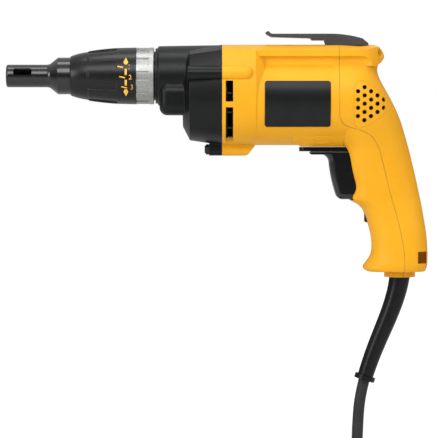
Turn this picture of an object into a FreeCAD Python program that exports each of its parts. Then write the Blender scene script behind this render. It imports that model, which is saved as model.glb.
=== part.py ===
# Corded drywall screwdriver, built as its separate pieces
# Frame: origin at the middle of the hand grip, -X towards the nose, +Z up, Y across
import FreeCAD, Part
import Sketcher
import math
import os

# Sizes in millimetres, grouped by piece; "ahead" and "behind" are measured from the
# joint plane between the gear case and the motor housing, along the spindle
SIZES = {
    # Frame
    "joint_x": -123.5,
    "motor_drop": 23.5,
    "running_gap": 0.05,
    "slip_gap": 0.1,
    "seam_gap": 0.3,
    "overrun": 2.0,
    # Nosepiece
    "nose_reach": 152.7,
    "nose_tube_length": 28.4,
    "nose_tube_radius": 8.0,
    "nose_tip_round": 1.4,
    "nose_cone_length": 8.2,
    "nose_blend_run": 3.2,
    "nose_blend_rise": 0.95,
    "nose_barrel_radius": 13.0,
    "nose_hold": 9.3,
    "nose_barrel_wall": 2.2,
    "nose_bore_radius": 6.3,
    "nose_bore_length": 19.6,
    "nose_relief_radius": 6.8,
    "window_length": 13.0,
    "window_width": 5.2,
    "window_corner": 1.2,
    "window_setback": 5.2,
    # Depth collar
    "collar_length": 46.8,
    "collar_edge_radius": 13.6,
    "collar_front_radius": 14.2,
    "collar_edge_length": 0.9,
    "collar_step_radius": 16.9,
    "collar_step_length": 12.2,
    "collar_rise": 0.75,
    "collar_rise_length": 1.2,
    "collar_rear_radius": 20.1,
    "collar_band_length": 13.6,
    "collar_band_radius": 19.8,
    "collar_crown_radius": 190.0,
    "collar_groove_depth": 0.8,
    "collar_thread_length": 21.0,
    # Detent ring that snaps on the gear case neck
    "ring_length": 12.1,
    "ring_stand_off": 1.3,
    "ring_radius": 20.1,
    "ring_rim_length": 3.2,
    "ring_notch_depth": 0.8,
    "ring_sleeve_radius": 17.0,
    "ring_sleeve_length": 25.0,
    "ring_web": 2.0,
    # Gear case
    "case_front": 45.4,
    "case_front_radius": 21.1,
    "case_rear_radius": 21.8,
    "case_edge": 1.2,
    "flange_length": 1.6,
    "flange_radius": 19.6,
    "neck_length": 11.0,
    "neck_radius": 17.2,
    "oring_groove_back": 5.0,
    "oring_groove_width": 1.9,
    "oring_groove_depth": 1.6,
    "oring_wire_radius": 0.75,
    "chin_setback": 1.4,
    "chin_length": 20.5,
    "chin_half_width": 23.6,
    "chin_top_drop": 4.0,
    "chin_bottom_drop": 27.8,
    "chin_corner": 8.0,
    "chin_edge": 5.5,
    "bell_brow": 27.7,
    "bell_shoulder": 22.8,
    "bell_brow_inset": 13.0,
    "bell_shoulder_inset": 3.4,
    "gear_room_radius": 17.0,
    "gear_room_depth": 21.5,
    "clutch_room_radius": 13.0,
    "clutch_room_depth": 31.0,
    "pinion_room_radius": 8.0,
    # Barrel outline shared by the gear case and the motor housing
    "ring_lift": 1.1,
    "barrel_radius": 34.5,
    "rail_half_width": 27.0,
    "rail_top": 37.7,
    "rail_shoulder": 33.8,
    # Screws through the gear case
    "case_screw_side": 31.0,
    "case_screw_rise": 1.7,
    "case_screw_drop": 36.4,
    "case_tube_radius": 5.1,
    "case_tube_front": 24.0,
    "case_tube_rear": 22.0,
    "keel_half_width": 4.4,
    "keel_root": 31.0,
    "keel_bottom": 40.8,
    "keel_round": 3.8,
    "keel_front": 9.2,
    "keel_flat": 17.5,
    "keel_slope": 6.0,
    "keel_corner": 3.0,
    "case_screw_radius": 2.1,
    "case_screw_head_radius": 3.7,
    "case_screw_head_length": 3.2,
    "case_screw_seat": 20.0,
    "case_screw_grip": 17.0,
    "case_screw_room": 0.4,
    # Bearing plate and its bush
    "plate_radius": 27.5,
    "plate_lobe_radius": 18.6,
    "plate_thickness": 6.5,
    "bush_outer_radius": 5.0,
    # Spindle, clutch and bit holder
    "spindle_bush_length": 20.0,
    "spindle_bush_wall": 2.0,
    "spindle_radius": 6.0,
    "spindle_nose_radius": 7.0,
    "spindle_nose_ahead": 61.5,
    "spindle_front": 100.0,
    "spindle_socket_depth": 14.0,
    "spindle_flange_radius": 9.0,
    "spindle_flange_length": 3.2,
    "clutch_face": 22.6,
    "clutch_gap": 1.2,
    "clutch_tooth_height": 1.8,
    "clutch_tooth_inner": 6.2,
    "spring_mean_radius": 4.5,
    "spring_wire_radius": 0.45,
    "spring_seat_depth": 5.5,
    "spring_seat_radius": 5.4,
    "hex_across_flats": 6.35,
    "holder_radius": 5.0,
    "holder_front": 131.6,
    "holder_length": 24.0,
    "holder_neck_radius": 4.1,
    "holder_neck_length": 3.0,
    "holder_socket_depth": 10.0,
    "holder_edge": 0.6,
    "magnet_radius": 2.7,
    "magnet_length": 3.0,
    # Gear pair
    "gear_module": 0.6,
    "gear_backlash": 0.05,
    "gear_rear": 8.0,
    "gear_face": 8.0,
    "gear_hub_radius": 9.0,
    "gear_shaft_radius": 3.0,
    "gear_pilot_length": 7.0,
    "washer_radius": 7.0,
    "pinion_overhang": 1.5,
    # Armature, measured behind the joint plane
    "front_journal_radius": 3.5,
    "front_journal_length": 7.2,
    "shaft_radius": 4.0,
    "shaft_rear": 97.0,
    "rear_journal_radius": 3.0,
    "rear_journal_length": 6.5,
    "core_front": 24.0,
    "core_length": 38.0,
    "core_radius": 16.4,
    "core_slot_width": 2.2,
    "core_slot_depth": 6.5,
    "winding_radius": 14.6,
    "winding_hub_radius": 5.6,
    "winding_length": 7.0,
    "commutator_front": 72.0,
    "commutator_length": 15.0,
    "commutator_radius": 10.5,
    "commutator_riser_radius": 12.0,
    "commutator_riser_length": 2.2,
    "commutator_slot_width": 0.5,
    "commutator_slot_depth": 1.0,
    "fan_front": 2.2,
    "fan_length": 9.4,
    "fan_tip_gap": 1.6,
    "fan_hub_radius": 9.0,
    "fan_disc": 1.4,
    "fan_blade": 1.3,
    "fan_eye_radius": 13.5,
    # Ball bearings
    "front_bearing_radius": 9.5,
    "front_bearing_width": 5.0,
    "rear_bearing_radius": 8.0,
    "rear_bearing_width": 5.0,
    "bearing_ring_wall": 1.6,
    # Stator, field coils, baffle, brush gear and end frame
    "stator_front": 23.0,
    "stator_length": 40.0,
    "stator_radius": 29.8,
    "stator_bore": 17.1,
    "stator_slot_radius": 25.0,
    "coil_overhang": 6.0,
    "coil_clear": 0.4,
    "baffle_front": 14.4,
    "baffle_thickness": 1.4,
    "baffle_eye_radius": 20.0,
    "brush_width": 6.4,
    "brush_height": 8.0,
    "brush_length": 11.0,
    "brush_centre": 80.0,
    "brush_box_wall": 1.0,
    "brush_box_length": 15.4,
    "brush_box_clear": 1.2,
    "brush_spring_radius": 2.2,
    "brush_spring_wire": 0.3,
    "end_frame_front": 69.0,
    "end_frame_length": 28.0,
    "end_frame_wall": 2.4,
    "end_frame_boss_radius": 11.0,
    # Motor housing and rear handle cover
    "housing_bore": 30.0,
    "housing_bore_length": 101.5,
    "belly_radius": 33.4,
    "belly_length": 92.0,
    "front_ring_length": 23.5,
    "front_ring_slope": 6.0,
    "front_ring_inset": 4.2,
    "rail_side": 4.6,
    "rail_groove_foot_y": 24.2,
    "rail_groove_foot_z": 22.2,
    "rail_groove_radius": 4.6,
    "rail_end": 114.3,
    "rail_end_round": 11.0,
    "rail_end_run": 12.4,
    "rail_end_drop": 8.6,
    "rail_tuck_run": 7.0,
    "rail_tuck_drop": 15.6,
    "rail_tuck_radius": 13.0,
    "rail_corner": 21.5,
    "grip_depth": 39.8,
    "grip_half_width": 18.0,
    "handle_foot": -32.4,
    "handle_height": 146.0,
    "handle_wall": 3.2,
    "foot_boss_radius": 11.0,
    "foot_boss_drop": 4.2,
    "shelf_front": -68.0,
    "shelf_length": 30.0,
    "shelf_floor": 4.3,
    "shelf_half_width": 20.0,
    "shelf_flat": 9.0,
    "shelf_ramp": 6.0,
    "shelf_side_radius": 26.0,
    "cavity_front": -26.0,
    "cavity_length": 60.0,
    "switch_rib_length": 6.0,
    "switch_rib_height": 6.0,
    "switch_rib_drop": 5.0,
    "vent_width": 5.2,
    "vent_back": 2.5,
    "vent_upper_top": 12.1,
    "vent_upper_height": 14.6,
    "vent_lower_top": -6.5,
    "vent_lower_height": 26.0,
    "vent_inner": 11.0,
    "hole_radius": 1.5,
    "hole_pitch": 5.75,
    "hole_row_step": 4.55,
    "hole_field_x": -28.8,
    "hole_field_drop": 4.0,
    "slot_x": 14.4,
    "slot_z": -26.6,
    "slot_length": 6.4,
    "slot_height": 8.4,
    "slot_web": 3.0,
    # Screws of the handle cover
    "cover_screw_radius": 1.9,
    "cover_screw_head_radius": 3.3,
    "cover_screw_head_length": 2.6,
    "cover_screw_hole_radius": 3.7,
    "rail_screw_side": 15.5,
    "rail_screw_rise": 32.0,
    "rail_screw_length": 34.0,
    "grip_screw_z": -10.0,
    "grip_screw_length": 27.0,
    "grip_screw_boss": 4.4,
    "cover_screw_sink": 5.0,
    # Side labels
    "label_length": 46.0,
    "label_height": 32.2,
    "label_back": 29.7,
    "label_top": 12.0,
    "label_corner": 1.8,
    "label_thickness": 0.4,
    "label_lift": 0.03,
    # Belt hook
    "hook_front": 30.6,
    "hook_length": 72.4,
    "hook_half_width": 10.5,
    "hook_rise": 7.6,
    "hook_leaf": 2.2,
    "hook_leaf_root": 3.0,
    "hook_curl_run": 4.4,
    "hook_curl_rise": 2.0,
    "hook_rib_run": 10.0,
    "hook_rib_drop": 1.5,
    "hook_leg": 5.4,
    "hook_leaf_length": 41.6,
    "hook_tail_run": 4.1,
    "hook_tail_rise": 4.3,
    "hook_crown_radius": 78.0,
    "hook_edge": 1.0,
    "hook_peg_radius": 2.4,
    "hook_peg_length": 4.0,
    "hook_peg_front": 86.0,
    "hook_peg_rear": 97.0,
    # Switch, trigger, reversing lever and lock button
    "switch_front": -17.6,
    "switch_length": 24.0,
    "switch_half_width": 10.0,
    "switch_drop": 4.8,
    "switch_height": 32.0,
    "switch_edge": 1.5,
    "plunger_radius": 3.4,
    "trigger_half_width": 11.0,
    "trigger_nose": -61.2,
    "trigger_height": 33.5,
    "trigger_tongue": 1.9,
    "trigger_throat": -52.5,
    "trigger_throat_radius": 6.5,
    "trigger_hook_x": -47.7,
    "trigger_hook_drop": 7.6,
    "trigger_bow": 110.0,
    "trigger_toe_x": -38.6,
    "trigger_toe_rise": 3.2,
    "trigger_toe_run": 4.4,
    "trigger_toe_radius": 4.6,
    "trigger_back_top": -29.0,
    "trigger_back_foot": -24.6,
    "trigger_edge": 3.6,
    "trigger_travel": 6.0,
    "trigger_room": 0.6,
    "plunger_length": 13.0,
    "plunger_drop": 16.0,
    "lever_tip": -68.9,
    "lever_pivot": -34.0,
    "lever_gap": 0.4,
    "lever_thickness": 3.0,
    "lever_half_width": 4.2,
    "lever_hub_radius": 5.5,
    "lever_pin_radius": 1.6,
    "lock_z": 5.6,
    "lock_half_height": 3.6,
    "lock_half_width": 3.0,
    "lock_face": -22.6,
    "lock_length": 8.5,
    "lock_edge": 1.2,
    # Cord protector, clamp, cord, tie and plug
    "cord_radius": 4.0,
    "protector_top_radius": 7.4,
    "protector_end_radius": 5.6,
    "protector_head_length": 12.0,
    "protector_flange_radius": 7.4,
    "protector_flange_length": 3.2,
    "protector_x": 2.6,
    "clamp_z": -18.6,
    "clamp_half_width": 10.0,
    "clamp_height": 7.0,
    "clamp_x": 3.9,
    "clamp_thickness": 5.0,
    "clamp_post_radius": 2.9,
    "clamp_screw_radius": 1.5,
    "clamp_screw_side": 7.0,
    "clamp_screw_length": 11.0,
    "clamp_screw_head": 2.7,
    "coil_mid_radius": 48.0,
    "coil_turn_pitch": 8.5,
    "coil_layer_pitch": 8.5,
    "tie_width": 9.0,
    "tie_thickness": 1.2,
    "tie_gap": 0.3,
    "plug_radius": 12.4,
    "plug_length": 34.0,
    "plug_neck_radius": 6.2,
    "plug_neck_length": 14.0,
    "plug_face_radius": 14.0,
    "plug_face_length": 6.0,
    "blade_length": 17.0,
    "blade_height": 6.35,
    "blade_wide": 7.9,
    "blade_thickness": 1.5,
    "blade_spacing": 12.7,
}
ANGLES = {
    "window_tilt_deg": 23.6,
    "collar_groove_deg": 19.0,
    "ring_notch_deg": 18.0,
    "clutch_tooth_deg": 50.0,
    "pole_deg": 112.0,
    "coil_gap_deg": 114.0,
    "coil_side_deg": 160.0,
}
COUNTS = {
    "collar_pads": 8,
    "ring_notches": 12,
    "clutch_teeth": 3,
    "pinion_teeth": 8,
    "gear_teeth": 44,
    "core_slots": 12,
    "commutator_bars": 20,
    "fan_blades": 13,
    "bearing_balls": 8,
    "coil_turns": 7.5,
}

# Handle slices from foot to barrel, as shares: height of the handle's height; front,
# rear of the grip's depth; half width of the grip's half width
HANDLE_SLICE_SHARES = [
    (0.000, -0.530, 0.515, 1.06),
    (0.026, -0.585, 0.552, 1.11),
    (0.062, -0.490, 0.560, 1.07),
    (0.112, -0.437, 0.556, 1.03),
    (0.190, -0.468, 0.530, 1.00),
    (0.265, -0.548, 0.484, 0.98),
    (0.305, -0.620, 0.458, 0.98),
    (0.332, -0.745, 0.440, 0.98),
    (0.352, -0.860, 0.425, 0.98),
    (0.385, -0.815, 0.398, 0.98),
    (0.440, -0.810, 0.354, 1.00),
    (0.512, -0.860, 0.291, 1.05),
    (0.595, -0.930, 0.214, 1.15),
    (0.663, -1.150, 0.143, 1.36),
    (0.731, -1.310, 0.062, 1.65),
    (0.799, -1.400, -0.045, 1.84),
    (0.867, -1.430, -0.178, 1.86),
    (0.935, -1.430, -0.312, 1.70),
    (1.000, -1.430, -0.330, 1.40),
]
HANDLE_POWER_SHARE = 2.9
# Seam between motor housing and handle cover, as shares of the grip's depth and the
# handle's height, from the top rail down to the foot
SEAM_SHARES = [
    (-1.045, 0.760),
    (-1.026, 0.738),
    (-0.961, 0.711),
    (-0.713, 0.687),
    (-0.632, 0.681),
    (-0.457, 0.651),
    (-0.346, 0.600),
    (-0.268, 0.527),
    (-0.112, 0.360),
    (-0.014, 0.268),
    (0.082, 0.154),
    (0.116, 0.089),
    (0.123, 0.021),
    (0.100, -0.070),
]
# Vent holes of the handle cover: column, row, in columns and half pitches
VENT_HOLES = [
    (0, -3), (0, -1), (0, 1), (0, 3),
    (1, -4), (1, -2), (1, 0), (1, 2), (1, 4),
    (2, -3), (2, -1), (2, 1), (2, 3),
    (3, -2), (3, 0), (3, 2),
    (4, -1), (4, 1),
]
# Way of the cord protector and of the free cord, points chosen along the photograph
PROTECTOR_WAY = [
    (2.6, 0.0, -36.0),
    (1.5, 0.0, -43.0),
    (-1.6, 0.0, -54.5),
    (-6.2, 0.0, -67.0),
    (-11.6, 0.0, -80.0),
    (-16.9, 0.0, -93.5),
    (-21.6, 0.0, -107.6),
]
CORD_WAY = [
    (-22.4, 0.0, -110.1),
    (-25.3, 0.0, -121.7),
    (-26.8, 0.0, -138.0),
    (-27.4, 0.0, -159.0),
    (-32.4, -8.7, -178.5),
    (-41.9, -25.1, -192.4),
    (-53.4, -45.0, -196.0),
    (-70.5, -60.4, -196.0),
    (-91.8, -69.0, -196.0),
    (-111.8, -69.0, -196.0),
]

doc = FreeCAD.newDocument("drywall_screwdriver")
sheet = doc.addObject("Spreadsheet::Sheet", "Sizes")
V = FreeCAD.Vector
TURN_Y = FreeCAD.Rotation(V(0, 1, 0), 90)
STAND_XZ = FreeCAD.Rotation(V(1, 0, 0), 90)
STAND_YZ = FreeCAD.Rotation(V(1, 1, 1), 120)


class Size:
    # A length with its value and the sheet expression that gives it
    def __init__(self, value, text):
        self.value = value
        self.text = text

    def __float__(self):
        return self.value

    def __add__(self, other):
        other = size(other)
        return Size(self.value + other.value, f"({self.text} + {other.text})")

    def __sub__(self, other):
        other = size(other)
        return Size(self.value - other.value, f"({self.text} - {other.text})")

    def __mul__(self, other):
        other = size(other)
        return Size(self.value * other.value, f"({self.text} * {other.text})")

    def __truediv__(self, other):
        other = size(other)
        return Size(self.value / other.value, f"({self.text} / {other.text})")

    def __radd__(self, other):
        return size(other) + self

    def __rsub__(self, other):
        return size(other) - self

    def __rmul__(self, other):
        return size(other) * self

    def __neg__(self):
        return size(0) - self


def size(number):
    return number if isinstance(number, Size) else Size(float(number), f"{float(number):.9f}")


class Named:
    # Every sheet value under its own name
    pass


def fill_sheet():
    named = Named()
    row = 1
    for table in (SIZES, ANGLES, COUNTS):
        for name, number in table.items():
            sheet.set(f"A{row}", name)
            sheet.set(f"B{row}", str(number))
            sheet.setAlias(f"B{row}", name)
            row += 1
    doc.recompute()
    for table in (SIZES, ANGLES, COUNTS):
        for name in table:
            setattr(named, name, Size(float(sheet.get(name)), f"Sizes.{name}"))
    return named


d = fill_sheet()
ZERO = size(0)
gear_centres = d.gear_module * (d.pinion_teeth + d.gear_teeth) / 2
motor_z = d.handle_foot + d.handle_height - d.motor_drop
spindle_z = motor_z + gear_centres
shelf_z = motor_z - d.housing_bore - d.shelf_floor
switch_top = shelf_z - d.switch_drop
trigger_top = shelf_z - d.lever_gap - d.lever_thickness - d.seam_gap
trigger_bottom = trigger_top - d.trigger_height
plunger_z = trigger_top - d.plunger_drop
ON_SPINDLE = (d.joint_x, ZERO, spindle_z)
ON_MOTOR = (d.joint_x, ZERO, motor_z)
ORIGIN = (ZERO, ZERO, ZERO)


def point(place):
    return V(float(place[0]), float(place[1]), float(place[2]))


def bind(item, path, length):
    item.setExpression(path, size(length).text)


def set_place(item, place, rotation=None):
    if rotation:
        item.Placement = FreeCAD.Placement(V(), rotation)
    for axis, length in zip("xyz", place):
        bind(item, f"Placement.Base.{axis}", length)


# Sketches: closed outlines of straight and round stretches

def bend_geometry(start, end, radius):
    dx = end[0] - start[0]
    dy = end[1] - start[1]
    chord = math.hypot(dx, dy)
    rise = math.sqrt(max(radius * radius - chord * chord / 4, 0.0))
    side = math.copysign(1, radius)
    centre = V((start[0] + end[0]) / 2 - side * dy / chord * rise,
               (start[1] + end[1]) / 2 + side * dx / chord * rise, 0)
    first, last = (start, end) if radius > 0 else (end, start)
    angles = [math.atan2(p[1] - centre.y, p[0] - centre.x) for p in (first, last)]
    circle = Part.Circle(centre, V(0, 0, 1), abs(radius))
    return Part.ArcOfCircle(circle, angles[0], angles[1])


def draw(sketch, corners):
    # A corner's third entry is the radius of the bend that leads to it, left turn positive
    spots = [(float(c[0]), float(c[1])) for c in corners]
    runs = []
    for i, corner in enumerate(corners):
        if len(corner) == 2:
            edge = Part.LineSegment(V(*spots[i - 1], 0), V(*spots[i], 0))
            runs.append((sketch.addGeometry(edge), 1, 2))
        else:
            bend = float(corner[2])
            number = sketch.addGeometry(bend_geometry(spots[i - 1], spots[i], bend))
            runs.append((number, 1, 2) if bend > 0 else (number, 2, 1))
    for i, corner in enumerate(corners):
        number, _, end = runs[i]
        after = runs[(i + 1) % len(runs)]
        sketch.addConstraint(Sketcher.Constraint("Coincident", number, end, after[0], after[1]))
        for kind, length in zip(("DistanceX", "DistanceY"), corner):
            limit = Sketcher.Constraint(kind, -1, 1, number, end, float(length))
            bind(sketch, f"Constraints[{sketch.addConstraint(limit)}]", length)
        if len(corner) == 3:
            bend = corner[2] if float(corner[2]) > 0 else -corner[2]
            limit = Sketcher.Constraint("Radius", number, float(bend))
            bind(sketch, f"Constraints[{sketch.addConstraint(limit)}]", bend)


def draw_circle(sketch, across, up, radius):
    middle = V(float(across), float(up), 0)
    number = sketch.addGeometry(Part.Circle(middle, V(0, 0, 1), float(radius)))
    for kind, length in (("DistanceX", across), ("DistanceY", up)):
        limit = Sketcher.Constraint(kind, -1, 1, number, 3, float(length))
        bind(sketch, f"Constraints[{sketch.addConstraint(limit)}]", length)
    limit = Sketcher.Constraint("Radius", number, float(radius))
    bind(sketch, f"Constraints[{sketch.addConstraint(limit)}]", radius)


def rectangle(left, right, low, high):
    return [(left, low), (right, low), (right, high), (left, high)]


def hexagon(flats):
    half = flats / 2
    corner = flats / math.sqrt(3)
    return [(corner, ZERO), (corner / 2, half), (-corner / 2, half),
            (-corner, ZERO), (-corner / 2, -half), (corner / 2, -half)]


# Bodies and their features

def new_body(label, place=ORIGIN):
    body = doc.addObject("PartDesign::Body", label)
    body.Label = label
    set_place(body, place)
    return body


def origin_of(body, role):
    return next(item for item in body.Origin.OriginFeatures if item.Role == role)


def new_sketch(body, plane, lift=ZERO, tilt=0):
    sketch = body.newObject("Sketcher::SketchObject", f"{body.Name}_sketch")
    sketch.AttachmentSupport = [(origin_of(body, plane), "")]
    sketch.MapMode = "FlatFace"
    if tilt:
        sketch.AttachmentOffset = FreeCAD.Placement(V(), FreeCAD.Rotation(V(1, 0, 0), tilt))
    bind(sketch, "AttachmentOffset.Base.z", lift)
    return sketch


def shape_feature(body, kind, sketch):
    feature = body.newObject(f"PartDesign::{kind}", f"{body.Name}_{kind.lower()}")
    feature.Profile = sketch
    return feature


def revolve(body, corners, kind="Revolution", sweep=None, tilt=0):
    sketch = new_sketch(body, "XZ_Plane", tilt=tilt)
    draw(sketch, corners)
    feature = shape_feature(body, kind, sketch)
    feature.ReferenceAxis = (sketch, ["H_Axis"])
    feature.Angle = 360
    if sweep is not None:
        feature.Midplane = True
        bind(feature, "Angle", sweep)
    return feature


def extrude(body, sketch, length, kind="Pad", both_sides=False, reverse=False):
    feature = shape_feature(body, kind, sketch)
    feature.SideType = "Symmetric" if both_sides else "One side"
    feature.Reversed = reverse
    bind(feature, "Length", length)
    return feature


def repeat(body, feature, count, axis="X_Axis"):
    ring = body.newObject("PartDesign::PolarPattern", f"{body.Name}_ring")
    ring.Originals = [feature]
    ring.Axis = (origin_of(body, axis), [""])
    ring.Angle = 360
    bind(ring, "Occurrences", count)
    body.Tip = ring
    return ring


def turned(label, place, corners):
    body = new_body(label, place)
    revolve(body, corners)
    return body


def tube(label, place, front, rear, inner, outer):
    return turned(label, place, [(front, inner), (front, outer), (rear, outer), (rear, inner)])


# Free solids and booleans

def free_sketch(name, place, rotation):
    sketch = doc.addObject("Sketcher::SketchObject", name)
    set_place(sketch, place, rotation)
    return sketch


def prism(name, place, rotation, corners, length, both_sides=True):
    sketch = free_sketch(f"{name}_outline", place, rotation)
    draw(sketch, corners)
    solid = doc.addObject("Part::Extrusion", name)
    solid.Base = sketch
    solid.DirMode = "Normal"
    solid.Solid = True
    solid.Symmetric = both_sides
    bind(solid, "LengthFwd", length)
    return solid


def box(name, low, spans):
    solid = doc.addObject("Part::Box", name)
    for side, span in zip(("Length", "Width", "Height"), spans):
        bind(solid, side, span)
    set_place(solid, low)
    return solid


def rod(name, place, radius, length, rotation=TURN_Y):
    solid = doc.addObject("Part::Cylinder", name)
    bind(solid, "Radius", radius)
    bind(solid, "Height", length)
    set_place(solid, place, rotation)
    return solid


def ball(name, place, radius):
    solid = doc.addObject("Part::Sphere", name)
    bind(solid, "Radius", radius)
    set_place(solid, place)
    return solid


def fused(name, items):
    solid = doc.addObject("Part::MultiFuse", name)
    solid.Shapes = items
    solid.Refine = False
    return solid


def joined(name, items):
    # Items fused one after another
    solid = items[0]
    last = len(items) - 1
    for number, item in enumerate(items[1:], 1):
        whole = doc.addObject("Part::Fuse", name if number == last else f"{name}_step_{number}")
        whole.Base = solid
        whole.Tool = item
        whole.Refine = False
        solid = whole
    return solid


def shared(name, items):
    solid = doc.addObject("Part::MultiCommon", name)
    solid.Shapes = items
    solid.Refine = False
    return solid


def cut(name, base, tools):
    solid = doc.addObject("Part::Cut", name)
    solid.Base = base
    solid.Tool = tools[0] if len(tools) == 1 else fused(f"{name}_tools", tools)
    solid.Refine = False
    return solid


def cut_in_turn(name, base, tools):
    # Tools cut away one after another
    for number, tool in enumerate(tools, 1):
        base = cut(name if number == len(tools) else f"{name}_step_{number}", base, [tool])
    return base


def rounded(name, base, radius, wanted):
    doc.recompute()
    solid = doc.addObject("Part::Fillet", name)
    solid.Base = base
    reach = float(radius)
    edges = [i for i, edge in enumerate(base.Shape.Edges, 1) if wanted(edge)]
    solid.Edges = [(i, reach, reach) for i in edges]
    return solid


def plain(label, shape):
    solid = doc.addObject("Part::Feature", label)
    solid.Label = label
    solid.Shape = shape
    return solid


def group(label, solids):
    doc.recompute()
    return plain(label, Part.makeCompound([item.Shape.copy() for item in solids]))


def shifted(place, x=ZERO, y=ZERO, z=ZERO):
    return (place[0] + x, place[1] + y, place[2] + z)


# Edges by where they lie

def runs_along(edge, axis):
    if not isinstance(edge.Curve, Part.Line):
        return False
    return abs(edge.Curve.Direction.dot(axis)) > 0.99


def is_arc(edge):
    return isinstance(edge.Curve, Part.Circle)


def middle_of(edge):
    return edge.valueAt((edge.FirstParameter + edge.LastParameter) / 2)


# Nose: nosepiece, depth collar and detent ring

ring_rear = -(d.case_front + d.flange_length + d.ring_stand_off)
ring_front = ring_rear - d.ring_length
collar_rear = ring_front - d.slip_gap
collar_front = collar_rear - d.collar_length


def nosepiece():
    tip = -d.nose_reach
    cone = tip + d.nose_tube_length
    barrel = cone + d.nose_cone_length
    rear = ring_front - d.ring_sleeve_length + d.nose_hold
    relief = tip + d.nose_bore_length
    step = barrel + d.nose_barrel_wall
    inner = d.nose_barrel_radius - d.nose_barrel_wall
    run, rise = d.nose_blend_run, d.nose_blend_rise
    blend = (run * run + rise * rise) / (2 * rise)
    body = turned("nosepiece", ON_SPINDLE, [
        (tip, d.nose_bore_radius),
        (relief, d.nose_bore_radius),
        (relief, d.nose_relief_radius),
        (step, d.nose_relief_radius),
        (step, inner),
        (rear, inner),
        (rear, d.nose_barrel_radius),
        (barrel, d.nose_barrel_radius),
        (cone + run, d.nose_tube_radius + rise),
        (cone, d.nose_tube_radius, -blend),
        (tip + d.nose_tip_round, d.nose_tube_radius),
        (tip, d.nose_tube_radius - d.nose_tip_round, d.nose_tip_round),
    ])
    # Two windows beside the bit, turned up from the side
    window = new_sketch(body, "XZ_Plane", tilt=-float(d.window_tilt_deg))
    left = tip + d.window_setback
    half, corner = d.window_width / 2, d.window_corner
    right = left + d.window_length
    draw(window, [
        (left + corner, -half, corner),
        (right - corner, -half),
        (right, -half + corner, corner),
        (right, half - corner),
        (right - corner, half, corner),
        (left + corner, half),
        (left, half - corner, corner),
        (left, -half + corner),
    ])
    extrude(body, window, 4 * d.nose_tube_radius, "Pocket", both_sides=True)
    return body


def depth_collar():
    step = collar_front + d.collar_step_length
    rise = step + d.collar_rise_length
    band = collar_rear - d.collar_band_length
    raised = d.collar_step_radius + d.collar_rise
    thread = d.nose_barrel_radius + d.slip_gap
    sleeve = d.ring_sleeve_radius + d.slip_gap
    shoulder = collar_front + d.collar_thread_length
    body = turned("depth_collar", ON_SPINDLE, [
        (collar_front, thread),
        (shoulder, thread),
        (shoulder, sleeve),
        (collar_rear, sleeve),
        (collar_rear, d.collar_rear_radius),
        (band, d.collar_band_radius),
        (rise, raised, d.collar_crown_radius),
        (step, d.collar_step_radius),
        (collar_front + d.collar_edge_length, d.collar_front_radius, d.collar_crown_radius / 4),
        (collar_front, d.collar_edge_radius),
    ])
    # Grooves that part the raised grip pads, open to the front
    top = d.collar_rear_radius + d.overrun
    half_pitch = 180 / float(d.collar_pads)
    groove = revolve(body, [
        (step, d.collar_step_radius),
        (band, d.collar_band_radius - d.collar_groove_depth),
        (band, top),
        (step, top),
    ], "Groove", d.collar_groove_deg, half_pitch)
    repeat(body, groove, d.collar_pads)
    return body


def detent_ring():
    sleeve_front = ring_front - d.ring_sleeve_length
    guide = d.nose_barrel_radius + d.slip_gap
    seat = d.neck_radius + d.running_gap
    web = ring_front + d.ring_web
    body = turned("detent_ring", ON_SPINDLE, [
        (sleeve_front, guide),
        (web, guide),
        (web, seat),
        (ring_rear, seat),
        (ring_rear, d.ring_radius),
        (ring_front, d.ring_radius),
        (ring_front, d.ring_sleeve_radius),
        (sleeve_front, d.ring_sleeve_radius),
    ])
    # Finger notches open to the front
    floor = d.ring_radius - d.ring_notch_depth
    top = d.ring_radius + d.overrun
    notch = revolve(body, rectangle(ring_front - d.overrun, ring_rear - d.ring_rim_length, floor, top),
                    "Groove", d.ring_notch_deg)
    repeat(body, notch, d.ring_notches)
    return body


def neck_o_ring():
    body = new_body("neck_o_ring", ON_SPINDLE)
    sketch = new_sketch(body, "XZ_Plane")
    middle = -(d.case_front + d.flange_length + d.oring_groove_back + d.oring_groove_width / 2)
    height = d.neck_radius - d.running_gap - d.oring_wire_radius
    draw_circle(sketch, middle, height, d.oring_wire_radius)
    feature = shape_feature(body, "Revolution", sketch)
    feature.ReferenceAxis = (sketch, ["H_Axis"])
    feature.Angle = 360
    return body


# Spindle, clutch and bit holder

bush_rear = -(d.case_front + d.flange_length + d.neck_length) + d.spindle_bush_length
spindle_bore = d.spindle_radius + d.running_gap
bush_seat = spindle_bore + d.spindle_bush_wall
jaw_face = -d.clutch_face - d.clutch_tooth_height
spindle_face = jaw_face - d.clutch_gap - d.clutch_tooth_height
pilot_front = spindle_face - d.spring_seat_depth - d.gear_pilot_length


def clutch_jaws(body, low, high, tilt=0):
    # Raised teeth of a clutch face
    corners = rectangle(low, high, d.clutch_tooth_inner, d.spindle_flange_radius)
    tooth = revolve(body, corners, "Revolution", d.clutch_tooth_deg, tilt)
    return repeat(body, tooth, d.clutch_teeth)


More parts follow.
